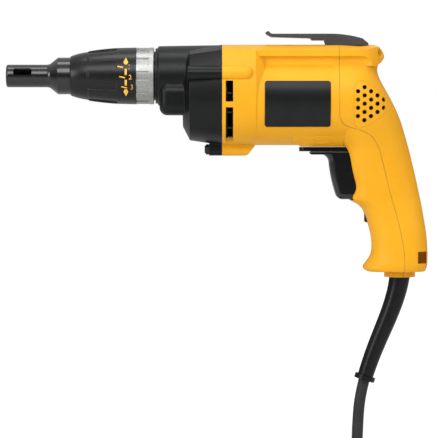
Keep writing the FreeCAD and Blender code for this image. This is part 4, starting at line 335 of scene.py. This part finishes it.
def setRoughness(surface, source, low, high):
    spread = addNode(surface.tree, "ShaderNodeMapRange",
                     {"From Min": noiseLow, "From Max": noiseHigh, "To Min": low, "To Max": high}, {"Value": source})
    surface.tree.links.new(spread.outputs[0], surface.shader.inputs["Roughness"])


def setSkin(surface, tones, toneMm, grainMm, heightMm, strength, rough, wearAndHighlight=None):
    # Slowly changing colour, lighter edges where asked (rubbed wear and a painted highlight), and a grain that also
    # moves the sheen
    colour, eased = addTones(surface, addSpread(surface, toneMm), *tones), None
    if wearAndHighlight:
        colour, eased = addEdgeWearAndHighlight(surface, colour, **wearAndHighlight)
    setColour(surface, colour)
    grain = addNoise(surface, grainMm, detail=2.0)
    setBump(surface, grain, heightMm, strength, eased)
    setRoughness(surface, grain, *rough)
    return surface.material


def setPattern(surface, source, tones, heightMm, strength):
    # Colour and relief from one pattern
    setColour(surface, addTones(surface, source, *tones))
    setBump(surface, source, heightMm, strength)
    return surface.material


def addWaves(surface, direction, pitchMm, settings=None):
    # One wave spans about six pitches, coarse enough to show
    waves = {"bands_direction": direction, "Scale": 1 / (pitchMm * mm) / waveTurn, **(settings or {})}
    return addNode(surface.tree, "ShaderNodeTexWave", waves, {"Vector": surface.place}).outputs


def mouldedPlastic(name, darker, lighter, wornAndHighlightColour, rough, grainMm, strength, wearAndHighlight, gloss):
    # Glass-filled nylon from a spark-eroded mould: even colour, fine grain, soft sheen, edges lighter, a little rubbed
    # and partly a painted highlight
    # The true grain is about 0.15 mm; drawn coarser so that it shows
    return setSkin(startFinish(name, rough[0], ior=1.53, gloss=gloss), (darker, lighter), toneMm=38,
                   grainMm=grainMm, heightMm=0.03, strength=strength, rough=rough,
                   wearAndHighlight={"wornAndHighlightColour": wornAndHighlightColour, "widthMm": 0.7, "amount": wearAndHighlight})


def paintedCasting(name, darker, lighter, wornAndHighlightColour, rough, gloss):
    # Satin paint on die-cast metal: slight orange peel about 1.4 mm wide, edges worn grey
    return setSkin(startFinish(name, rough[0], ior=1.48, gloss=gloss), (darker, lighter), toneMm=22,
                   grainMm=1.4, heightMm=0.03, strength=0.05, rough=rough,
                   wearAndHighlight={"wornAndHighlightColour": wornAndHighlightColour, "widthMm": 0.6, "amount": 0.55})


def blastedMetal(name, darker, lighter, rough, gritMm):
    # Bead-blasted die casting: a bright, even, grainy satin, its tones a little wider than the grit
    return setSkin(startFinish(name, rough[0], metallic=1.0), (darker, lighter), toneMm=gritMm * 1.6,
                   grainMm=gritMm, heightMm=0.03, strength=0.16, rough=rough,
                   wearAndHighlight={"wornAndHighlightColour": "#DEDEDC", "widthMm": 0.4, "amount": 0.5})


def softRubber(name, darker, lighter, rough, strength):
    # Moulded neoprene or PVC: matt, with a faint bloom and a slightly uneven skin
    return setSkin(startFinish(name, rough[0], ior=1.52, gloss=0.2), (darker, lighter), toneMm=14,
                   grainMm=1.1, heightMm=0.05, strength=strength, rough=rough)


def labelFilm():
    # Black polyester label film: smooth satin, faint embossed grain
    return setSkin(startFinish("black_label_film", 0.3, ior=1.6, gloss=0.13), ("#121314", "#191A1B"), toneMm=18,
                   grainMm=0.45, heightMm=0.01, strength=0.12, rough=(0.26, 0.36))


def printedInk():
    # Screen-printed yellow ink: flat colour, slightly uneven cover
    surface = startFinish("screen_printed_yellow_ink", 0.55)
    cover = addSpread(surface, sizeMm=1.2)
    setColour(surface, addTones(surface, cover, "#E8A52A", "#F7BE42"))
    setRoughness(surface, cover, low=0.48, high=0.62)
    return surface.material


def turnedMetal(name, darker, lighter, roughness, metallic, lineMm, strength):
    # Turned on a lathe about the tool's axis: fine rings along X, with the tone changing a little from ring to ring
    surface = startFinish(name, roughness, metallic=metallic)
    roundAxis = (1.0, 0.02, 0.02)       # draws the noise out into rings
    smoother, rougher = roughness * 0.85, roughness * 1.2
    stretched = addNode(surface.tree, "ShaderNodeMapping", {"Scale": roundAxis}, {"Vector": surface.place})
    rings = addNode(surface.tree, "ShaderNodeTexNoise",
                    {"Scale": 1 / (lineMm * mm), "Detail": 4.0, "Roughness": 0.65}, {"Vector": stretched.outputs[0]})
    setRoughness(surface, rings.outputs[0], smoother, rougher)
    return setPattern(surface, rings.outputs[0], (darker, lighter), heightMm=0.02, strength=strength)


def stackedSheets():
    # Electrical steel punched 0.5 mm thick and stacked: lines across the axis, bluish oxide
    surface = startFinish("stacked_electrical_steel", 0.42, metallic=1.0)
    bands = addWaves(surface, "X", pitchMm=0.5, settings={"Distortion": 0.6})
    return setPattern(surface, bands[0], ("#4B4F55", "#82868C"), heightMm=0.05, strength=0.5)


def woundCopper():
    # Enamelled copper wire 0.7 mm thick, laid side by side: round ridges with a red-brown lacquer
    surface = startFinish("enamelled_copper_wire", 0.28, metallic=0.85)
    wires = addWaves(surface, "DIAGONAL", pitchMm=0.7, settings={"Distortion": 2.0, "Detail": 1.0})
    return setPattern(surface, wires[0], ("#5E2A14", "#C2703C"), heightMm=0.3, strength=0.8)


def wovenWebbing():
    # Nylon hook-and-loop strap: threads 0.8 mm thick that cross, with a soft sheen
    surface = startFinish("woven_nylon_strap", 0.75, ior=1.53)
    across, along = [addWaves(surface, direction, pitchMm=0.8) for direction in ("Y", "X")]
    crossed = addNode(surface.tree, "ShaderNodeMath", {"operation": "MULTIPLY"}, {0: across[1], 1: along[1]})
    surface.shader.inputs["Sheen Weight"].default_value = 0.3
    return setPattern(surface, crossed.outputs[0], ("#151516", "#3A3A3C"), heightMm=0.2, strength=0.7)


finishes = {
    "yellow": mouldedPlastic("moulded_yellow_nylon", "#E09C0E", "#E6A517", "#F0BA44", rough=(0.42, 0.52),
                             grainMm=0.6, strength=0.14, wearAndHighlight=0.5, gloss=0.22),
    # The black nylons' lighter edge colours are partly a painted highlight along their edges
    "black": mouldedPlastic("moulded_black_nylon", "#0B0B0C", "#101011", "#3A3A3C", rough=(0.27, 0.35),
                            grainMm=0.55, strength=0.10, wearAndHighlight=0.7, gloss=0.25),
    "gloss": mouldedPlastic("polished_black_nylon", "#060708", "#0A0B0C", "#505052", rough=(0.12, 0.18),
                            grainMm=0.7, strength=0.08, wearAndHighlight=0.9, gloss=0.5),
    "casting": paintedCasting("satin_black_painted_casting", "#07080A", "#0C0D0E", "#3E3E40", rough=(0.34, 0.42),
                              gloss=0.22),
    "hook": paintedCasting("black_powder_coated_steel", "#363638", "#404043", "#606062", rough=(0.30, 0.40), gloss=0.5),
    "noseSteel": turnedMetal("black_oxide_turned_steel", "#0D0D0E", "#161617", roughness=0.2, metallic=0.0,
                             lineMm=0.35, strength=0.10),
    "zinc": blastedMetal("bead_blasted_zinc_alloy", "#8F8F8E", "#ADADAB", rough=(0.42, 0.54), gritMm=0.6),
    "castPlate": blastedMetal("cast_aluminium", "#8E8E8D", "#B4B4B2", rough=(0.40, 0.55), gritMm=1.1),
    "steel": turnedMetal("turned_steel", "#7C7D80", "#A6A7A9", roughness=0.26, metallic=1.0, lineMm=0.25,
                         strength=0.25),
    "brightSteel": turnedMetal("polished_bearing_steel", "#B4B5B7", "#C9CACC", roughness=0.12, metallic=1.0,
                               lineMm=0.4, strength=0.08),
    "screwSteel": turnedMetal("black_oxide_screw_steel", "#202022", "#333336", roughness=0.32, metallic=0.7,
                              lineMm=0.3, strength=0.2),
    "sheets": stackedSheets(),
    "copper": woundCopper(),
    "bars": turnedMetal("turned_copper_bars", "#A85E36", "#C98254", roughness=0.24, metallic=1.0, lineMm=0.3,
                        strength=0.2),
    "bronze": turnedMetal("sintered_bronze", "#8E6A36", "#B48D52", roughness=0.42, metallic=1.0, lineMm=0.5,
                          strength=0.3),
    "brass": turnedMetal("nickel_plated_brass", "#B5AC8C", "#CFC7AA", roughness=0.2, metallic=1.0, lineMm=0.4,
                         strength=0.12),
    "magnet": blastedMetal("nickel_plated_magnet", "#9C9A94", "#B8B6B0", rough=(0.2, 0.3), gritMm=0.8),
    "carbon": softRubber("pressed_carbon", "#141414", "#242424", rough=(0.55, 0.7), strength=0.4),
    "rubber": softRubber("moulded_neoprene", "#0A0A0B", "#0F0F10", rough=(0.30, 0.40), strength=0.12),
    "jacket": softRubber("pvc_cord_jacket", "#282828", "#313132", rough=(0.44, 0.56), strength=0.2),
    "wireCover": softRubber("pvc_wire_cover", "#D8D6CF", "#E6E4DD", rough=(0.42, 0.54), strength=0.1),
    "strap": wovenWebbing(),
    "label": labelFilm(),
    "ink": printedInk(),
}
print("finishes made,", len(finishes))

finishOfPiece = {
    "yellow": ["motor_housing", "handle_cover"],
    "black": ["depth_collar", "cooling_fan", "fan_baffle", "switch_body", "cord_clamp", "plug_body"],
    "gloss": ["trigger", "reversing_lever", "lock_button"],
    "casting": ["gear_case"],
    "hook": ["belt_hook"],
    "noseSteel": ["nosepiece"],
    "zinc": ["detent_ring"],
    "castPlate": ["bearing_plate", "end_frame"],
    "steel": ["spindle", "bit_holder", "drive_gear", "gear_shaft", "thrust_washer", "armature_shaft",
              "brush_springs"],
    "brightSteel": ["front_bearing_outer", "front_bearing_inner", "front_bearing_balls", "rear_bearing_outer",
                    "rear_bearing_inner", "rear_bearing_balls"],
    "screwSteel": ["gear_case_screws", "handle_cover_screws", "cord_clamp_screws"],
    "sheets": ["armature_core", "stator_core"],
    "copper": ["armature_winding", "field_coils"],
    "bars": ["commutator"],
    "bronze": ["spindle_bush", "gear_bush"],
    "brass": ["brush_holders", "plug_blades"],
    "magnet": ["bit_magnet"],
    "carbon": ["carbon_brushes"],
    "rubber": ["cord_protector", "neck_o_ring"],
    "label": ["side_labels"],
}
for finish, names in finishOfPiece.items():
    for name in names:
        nodes[name].data.materials.clear()
        nodes[name].data.materials.append(finishes[finish])
print("model pieces dressed")


# Cord: one smooth line from the protector, down to the floor and into the tied coil

cordPlan = {
    "diameter": 8.0 * mm,
    "length": 2.46,             # metres
    # the rest in mm, in the frame's axes
    "way": [
        (-22.4, 0.0, -110.1), (-25.3, 0.0, -121.7), (-26.8, 0.0, -138.0), (-27.4, 0.0, -159.0),
        (-32.4, -8.7, -178.5), (-41.9, -25.1, -192.4), (-53.4, -45.0, -196.0), (-70.5, -60.4, -196.0),
        (-91.8, -69.0, -196.0), (-111.8, -69.0, -196.0),
    ],
    "coilCentre": (-119.8, -5.0625, -196.0),
    "coilOuter": 63.9375,
    "turns": 7.5,
    "turnPitch": 8.5,
    "layerPitch": 8.5,
    "climbTurns": 0.5,          # share of a turn on the way up to the second layer
    "pointsPerTurn": 24,
    "lead": 8.0,                # straight end into the plug
    "order": 3,
    "stepsPerPoint": 4,
    "roundness": 4,
}


def coilPoint(at):
    plan = cordPlan
    turns = plan["turns"]
    radius = plan["coilOuter"] - plan["turnPitch"] * min(at, turns - at)
    climb = min(max((at - turns / 2) / plan["climbTurns"] + 0.5, 0.0), 1.0)
    height = plan["layerPitch"] * (1 - math.cos(math.pi * climb)) / 2
    angle = -math.pi / 2 - 2 * math.pi * at
    x, y, z = plan["coilCentre"]
    return (x + radius * math.cos(angle), y + radius * math.sin(angle), z + height)


def makeCord():
    plan = cordPlan
    steps = int(plan["turns"] * plan["pointsPerTurn"])
    points = list(plan["way"]) + [coilPoint(step / plan["pointsPerTurn"]) for step in range(steps + 1)]
    x, y, z = points[-1]
    points.append((x + plan["lead"], y, z))
    line, spline = drawLine("supplyCord", "NURBS", [[value * mm for value in place] for place in points])
    spline.order_u = plan["order"]
    spline.use_endpoint_u = True
    spline.resolution_u = plan["stepsPerPoint"]
    line.bevel_depth = plan["diameter"] / 2
    line.bevel_resolution = plan["roundness"]
    line.use_fill_caps = True
    line.materials.append(finishes["jacket"])
    cord = addPiece("supplyCord", line)
    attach(cord, "motor_body")
    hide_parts("power_cord", "cord_coil")
    return cord


supplyCord = makeCord()


# Short end of the lead inside the foot: cut jacket with its two wires

leadPlan = {
    # mm; low, cut and top are heights: the jacket's foot, its cut end and the wires' bare tips
    "x": 2.6, "low": -24.0, "cut": -17.4, "top": -14.9, "radius": 3.95, "edge": 0.5,
    "wireRadius": 1.25, "wireOffset": 1.7, "barrelSides": 24, "wireSides": 12,
}


def addTurned(form, centreX, centreY, outline, sides, finishIndex):
    # A turned form on an upright axis, closed at both ends; the outline gives radius and height
    turns = [2 * math.pi * side / sides for side in range(sides)]
    rings = []
    for radius, height in outline:
        ring = [(centreX + radius * math.cos(turn), centreY + radius * math.sin(turn), height) for turn in turns]
        rings.append([form.verts.new([value * mm for value in place]) for place in ring])
    faces = [form.faces.new(rings[0][::-1]), form.faces.new(rings[-1])]
    for ring, above in zip(rings, rings[1:]):
        for side in range(sides):
            after = (side + 1) % sides
            faces.append(form.faces.new((ring[side], ring[after], above[after], above[side])))
    for face in faces:
        face.material_index = finishIndex
        face.smooth = len(face.verts) == 4


def makeLead():
    plan = leadPlan
    form = bmesh.new()
    edge, radius, wire = plan["edge"], plan["radius"], plan["wireRadius"]
    jacket = [(radius, plan["low"]), (radius, plan["cut"] - edge), (radius - edge, plan["cut"])]
    insulated = [(wire, plan["cut"] - edge), (wire, plan["top"] - 2 * edge), (wire - edge / 2, plan["top"] - edge)]
    bare = [(wire / 2, plan["top"] - 2 * edge), (wire / 2, plan["top"])]
    addTurned(form, plan["x"], 0.0, jacket, plan["barrelSides"], 0)
    for side in (-1, 1):
        addTurned(form, plan["x"], side * plan["wireOffset"], insulated, plan["wireSides"], 1)
        addTurned(form, plan["x"], side * plan["wireOffset"], bare, plan["wireSides"], 2)
    lead = formPiece(form, "supplyLead", ("jacket", "wireCover", "copper"))
    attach(lead, "motor_body")
    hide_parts("supply_lead")


makeLead()


# Strap round the coil

strapPlan = {
    "low": (-186.1, -200.6), "high": (-151.3, -183.1),   # inside of the loop, X and Z
    "middleY": -5.06, "width": 9.0, "thickness": 1.15, "edge": 0.25, "corner": 4.5, "cornerSteps": 6,
}


def makeStrap():
    plan = strapPlan
    (lowX, lowZ), (highX, highZ) = plan["low"], plan["high"]
    corner = plan["corner"]
    path = []
    for x, z, start in [(highX, highZ, 0), (lowX, highZ, 90), (lowX, lowZ, 180), (highX, lowZ, 270)]:
        centreX = x - corner if x == highX else x + corner
        centreZ = z - corner if z == highZ else z + corner
        for step in range(plan["cornerSteps"] + 1):
            turn = math.radians(start + 90 * step / plan["cornerSteps"])
            path.append((centreX, centreZ, math.cos(turn), math.sin(turn)))
    half, thick, edge = plan["width"] / 2, plan["thickness"], plan["edge"]
    # Cross-section of the webbing: thin, with soft edges
    section = [(-half, edge), (-half + edge, 0.0), (half - edge, 0.0), (half, edge), (half, thick - edge),
               (half - edge, thick), (-half + edge, thick), (-half, thick - edge)]
    form = bmesh.new()
    rings = []
    for centreX, centreZ, outX, outZ in path:
        ring = []
        for aside, out in section:
            reach = corner + out
            place = (centreX + outX * reach, plan["middleY"] + aside, centreZ + outZ * reach)
            ring.append(form.verts.new([value * mm for value in place]))
        rings.append(ring)
    count = len(section)
    for ring, after in zip(rings, rings[1:] + rings[:1]):
        for at in range(count):
            form.faces.new((ring[at], ring[(at + 1) % count], after[(at + 1) % count], after[at]))
    bmesh.ops.recalc_face_normals(form, faces=form.faces)
    strap = formPiece(form, "coilStrap", ["strap"])
    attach(strap, "motor_body")
    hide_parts("cord_tie")
    return strap


coilStrap = makeStrap()
print("cord laid")


# Clutch spring, wound from wire; in the tool it shortens when the bit is pressed home

springPlan = {"wireRadius": 0.45 * mm, "turns": 4, "pointsPerTurn": 24, "roundness": 2, "travel": 2.8 * mm}


def makeSpring():
    plan = springPlan
    low, high = [Vector(corner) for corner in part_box("clutch_spring")]
    wire = plan["wireRadius"]
    middle = (low + high) / 2
    radius = (high.y - low.y) / 2 - wire
    steps = plan["turns"] * plan["pointsPerTurn"]
    points = []
    for step in range(steps + 1):
        turn = 2 * math.pi * step / plan["pointsPerTurn"]
        x = low.x + wire + (high.x - low.x - 2 * wire) * step / steps
        points.append((x, middle.y + radius * math.cos(turn), middle.z + radius * math.sin(turn)))
    line = drawLine("clutchSpring", "POLY", points)[0]
    line.bevel_depth = wire
    line.bevel_resolution = plan["roundness"]
    line.use_fill_caps = True
    mesh = meshOf(line, "clutchSpring")
    mesh.materials.append(finishes["steel"])
    spring = addPiece("clutchSpring", mesh)
    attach(spring, "drive_gear_set")
    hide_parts("clutch_spring")
    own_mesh(spring)


makeSpring()
print("clutch spring wound")


# Depth scale printed on the collar: ticks by Geometry Nodes, numbers and arrows wrapped on the band

scalePlan = {
    # mm, with heights from the spindle's axis
    "radius": 19.94, "ink": 0.10,
    "tickCount": 3, "tickSpread": 42.0, "tickMiddle": 2.9, "tickSlant": 12.0,      # degrees
    "tickX": -193.6, "tickStep": 1.4, "tickLength": 4.0, "tickWidth": 0.85,
    "lineX": -191.1, "lineWidth": 1.5, "dashes": [(0.5, 4.9), (-6.8, -2.9)], "runs": 4,
    "arrows": [(7.9, 9.4, 12.7), (-9.4, -11.2, -14.4)], "arrowHalf": 1.7,          # base, wings and tip
    "numberSize": 4.7, "numberSteps": 3,
    "numbers": [("1", -189.9, 5.9), ("2", -189.2, -1.2), ("3", -188.0, -8.1)],
}


def makeTicks():
    plan = scalePlan
    wanted = {
        "Count": plan["tickCount"],
        "Spread": math.radians(plan["tickSpread"]),
        "Middle": math.radians(plan["tickMiddle"]),
        "Slant": math.radians(plan["tickSlant"]),
        "Length": plan["tickLength"] * mm,
        "Width": plan["tickWidth"] * mm,
        "Ink": 2 * plan["ink"] * mm,
        "Radius": plan["radius"] * mm,
        "Along": plan["tickX"] * mm,
        "Step": plan["tickStep"] * mm,
        "Axis Height": spindleZ,
    }
    tree, given = startTree("collarTicks", wanted)
    row = addNode(tree, "GeometryNodeMeshLine", {"mode": "OFFSET", "Offset": (0.0, 0.0, 0.0)},
                  {"Count": given["Count"]})
    size = addNode(tree, "ShaderNodeCombineXYZ", None,
                   {"X": given["Length"], "Y": given["Ink"], "Z": given["Width"]})
    tick = addNode(tree, "GeometryNodeMeshCube", None, {"Size": size.outputs[0]})
    index = addNode(tree, "GeometryNodeInputIndex")
    # Each tick leans a little and is set off along the collar from the one before it
    lean = addNode(tree, "ShaderNodeCombineXYZ", None, {"Y": given["Slant"]})
    laid = addNode(tree, "GeometryNodeInstanceOnPoints", None,
                   {"Points": row.outputs[0], "Instance": tick.outputs[0], "Rotation": lean.outputs[0]})
    last = addNode(tree, "ShaderNodeMath", {"operation": "SUBTRACT", 1: 1.0}, {0: given["Count"]})
    share = addNode(tree, "ShaderNodeMath", {"operation": "DIVIDE"}, {0: index.outputs[0], 1: last.outputs[0]})
    centred = addNode(tree, "ShaderNodeMath", {"operation": "SUBTRACT", 1: 0.5}, {0: share.outputs[0]})
    middle = addNode(tree, "ShaderNodeMath", {"operation": "MULTIPLY"}, {0: last.outputs[0], 1: centred.outputs[0]})
    along = addNode(tree, "ShaderNodeMath", {"operation": "MULTIPLY_ADD"},
                    {0: middle.outputs[0], 1: given["Step"], 2: given["Along"]})
    outward = addNode(tree, "ShaderNodeMath", {"operation": "MULTIPLY", 1: -1.0}, {0: given["Radius"]})
    place = addNode(tree, "ShaderNodeCombineXYZ", None,
                    {"X": along.outputs[0], "Y": outward.outputs[0], "Z": given["Axis Height"]})
    moved = addNode(tree, "GeometryNodeTranslateInstances", {"Local Space": False},
                    {"Instances": laid.outputs[0], "Translation": place.outputs[0]})
    angle = addNode(tree, "ShaderNodeMath", {"operation": "MULTIPLY_ADD"},
                    {0: centred.outputs[0], 1: given["Spread"], 2: given["Middle"]})
    turn = addNode(tree, "ShaderNodeCombineXYZ", None, {"X": angle.outputs[0]})
    pivot = addNode(tree, "ShaderNodeCombineXYZ", None, {"Z": given["Axis Height"]})
    turned = addNode(tree, "GeometryNodeRotateInstances", {"Local Space": False},
                     {"Instances": moved.outputs[0], "Rotation": turn.outputs[0], "Pivot Point": pivot.outputs[0]})
    real = addNode(tree, "GeometryNodeRealizeInstances", None, {"Geometry": turned.outputs[0]})
    inked = addNode(tree, "GeometryNodeSetMaterial", {"Material": finishes["ink"]}, {"Geometry": real.outputs[0]})
    addNode(tree, "NodeGroupOutput", None, {"Geometry": inked.outputs[0]})
    holder = runTree(tree, "collarTicks", wanted)
    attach(holder, "collar")


def onBand(x, up, out):
    # A flat mark's place wrapped on the collar's band, at the height where the side view shows it
    plan = scalePlan
    reach = plan["radius"] + out
    turn = math.asin(up / plan["radius"])
    return (x * mm, -reach * math.cos(turn) * mm, spindleZ + reach * math.sin(turn) * mm)


def makeNumbers():
    plan = scalePlan
    form = bmesh.new()
    wide, middle, runs = plan["lineWidth"] / 2, plan["lineX"], plan["runs"]
    # Dashes and arrows in short runs, so that they lie on the round band
    outlines = [[(low, wide), (high, wide)] for low, high in plan["dashes"]]
    outlines += [[(base, wide), (wing, plan["arrowHalf"]), (tip, 0.0)] for base, wing, tip in plan["arrows"]]
    marks = []
    for outline in outlines:
        for (start, startHalf), (end, endHalf) in zip(outline, outline[1:]):
            for run in range(runs):
                near, far = run / runs, (run + 1) / runs
                low, high = start + (end - start) * near, start + (end - start) * far
                lowHalf = startHalf + (endHalf - startHalf) * near
                highHalf = startHalf + (endHalf - startHalf) * far
                corners = [(middle - lowHalf, low), (middle + lowHalf, low),
                           (middle + highHalf, high), (middle - highHalf, high)]
                marks.append(corners if highHalf > 0 else corners[:2] + [(middle, high)])
    for corners in marks:
        top = [form.verts.new(onBand(x, z, plan["ink"])) for x, z in corners]
        under = [form.verts.new(onBand(x, z, -plan["ink"])) for x, z in corners]
        form.faces.new(top)
        form.faces.new(under[::-1])
        for at in range(len(corners)):
            after = (at + 1) % len(corners)
            form.faces.new((top[after], top[at], under[at], under[after]))
    bmesh.ops.recalc_face_normals(form, faces=form.faces)
    for digit, x, up in plan["numbers"]:
        words = bpy.data.curves.new("digit", "FONT")
        words.body = digit
        words.size = plan["numberSize"]
        words.align_x, words.align_y = "LEFT", "CENTER"
        words.extrude = plan["ink"]
        words.resolution_u = plan["numberSteps"]
        flat = meshOf(words, "digit")
        for spot in flat.vertices:
            spot.co = onBand(x + spot.co.x, up + spot.co.y, spot.co.z)
        form.from_mesh(flat)
        bpy.data.meshes.remove(flat)
    scale = formPiece(form, "collarScale", ["ink"])
    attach(scale, "collar")


makeTicks()
makeNumbers()
print("collar scale printed")


# Fine raised line round the field of vent holes, and the small bare oval on the belly

beadPlan = {
    "radius": 0.32, "roundness": 2, "order": 3, "stepsPerPoint": 8,
    "castFrom": 80,             # well outside the tool's side
    # X and Z in the side view
    "vent": [(-31.9, 98.0), (-31.9, 74.5), (-30.8, 70.2), (-26.2, 69.4), (-18.2, 73.2), (-10.6, 79.6), (-8.4, 86.2),
             (-10.8, 92.6), (-16.8, 98.2), (-23.2, 102.2), (-29.2, 102.6)],
    "oval": [(-60.4, 60.7), (-58.6, 62.6), (-54.0, 63.1), (-49.4, 62.6), (-47.6, 60.7), (-49.4, 58.8), (-54.0, 58.3),
             (-58.6, 58.8)],
}


def beadOn(name, outline, side, carriers):
    # A smooth loop in side view, laid on the surface that the side view meets first
    plan = beadPlan
    loop, spline = drawLine(name, "NURBS", [(x * mm, 0.0, z * mm) for x, z in outline])
    spline.order_u = plan["order"]
    spline.use_cyclic_u = True
    spline.resolution_u = plan["stepsPerPoint"]
    traced = meshOf(loop, name)
    laid = []
    for spot in traced.vertices:
        start = Vector((spot.co.x, side * plan["castFrom"] * mm, spot.co.z))
        hits = [carrier.ray_cast(start, Vector((0.0, -side, 0.0))) for carrier in carriers]
        places = [hit[1] for hit in hits if hit[0]]
        if places:
            laid.append(min(places, key=lambda place: (place - start).length))
    bpy.data.meshes.remove(traced)
    bead, run = drawLine(name, "POLY", laid)
    run.use_cyclic_u = True
    bead.bevel_depth = plan["radius"] * mm
    bead.bevel_resolution = plan["roundness"]
    mesh = meshOf(bead, name)
    mesh.materials.clear()
    mesh.materials.append(finishes["yellow"])
    for face in mesh.polygons:
        face.use_smooth = True
    piece = addPiece(name, mesh)
    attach(piece, "motor_body")


cover, housing = nodes["handle_cover"], nodes["motor_housing"]
beadOn("ventBeadLeft", beadPlan["vent"], -1, [cover, housing])
beadOn("ventBeadRight", beadPlan["vent"], 1, [cover, housing])
beadOn("ovalBead", beadPlan["oval"], -1, [housing])
print("moulded beads laid")


# Grip ribs round the plug, by Geometry Nodes

plugPlan = {
    "start": (-111.8, 58.875, -187.5), "ribFrom": 21.5, "ribTo": 37.0, "ribCount": 6, "ribRadius": 10.4,
    "ribWire": 0.55, "ribSides": 48, "wireSides": 8,
}


def makePlugRibs():
    plan = plugPlan
    x, y, z = plan["start"]
    step = (plan["ribTo"] - plan["ribFrom"]) / (plan["ribCount"] - 1)
    wanted = {
        "Count": plan["ribCount"],
        "Start": Vector((x + plan["ribFrom"], y, z)) * mm,
        "Step": Vector((step, 0, 0)) * mm,
        "Radius": plan["ribRadius"] * mm,
        "Wire": plan["ribWire"] * mm,
    }
    tree, given = startTree("plugRibs", wanted)
    row = addNode(tree, "GeometryNodeMeshLine", {"mode": "OFFSET"},
                  {"Count": given["Count"], "Start Location": given["Start"], "Offset": given["Step"]})
    ring, profile = [addNode(tree, "GeometryNodeCurvePrimitiveCircle", {"Resolution": sides}, {"Radius": given[radius]})
                     for sides, radius in ((plan["ribSides"], "Radius"), (plan["wireSides"], "Wire"))]
    rib = addNode(tree, "GeometryNodeCurveToMesh", None,
                  {"Curve": ring.outputs[0], "Profile Curve": profile.outputs[0]})
    upright = addNode(tree, "GeometryNodeTransform", {"Rotation": (0.0, math.pi / 2, 0.0)},
                      {"Geometry": rib.outputs[0]})
    laid = addNode(tree, "GeometryNodeInstanceOnPoints", None,
                   {"Points": row.outputs[0], "Instance": upright.outputs[0]})
    real = addNode(tree, "GeometryNodeRealizeInstances", None, {"Geometry": laid.outputs[0]})
    smooth = addNode(tree, "GeometryNodeSetShadeSmooth", None, {"Geometry": real.outputs[0]})
    dressed = addNode(tree, "GeometryNodeSetMaterial", {"Material": finishes["black"]}, {"Geometry": smooth.outputs[0]})
    addNode(tree, "NodeGroupOutput", None, {"Geometry": dressed.outputs[0]})
    holder = runTree(tree, "plugRibs", wanted)
    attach(holder, "motor_body")


makePlugRibs()
print("plug ribs made")


print("scene ready")
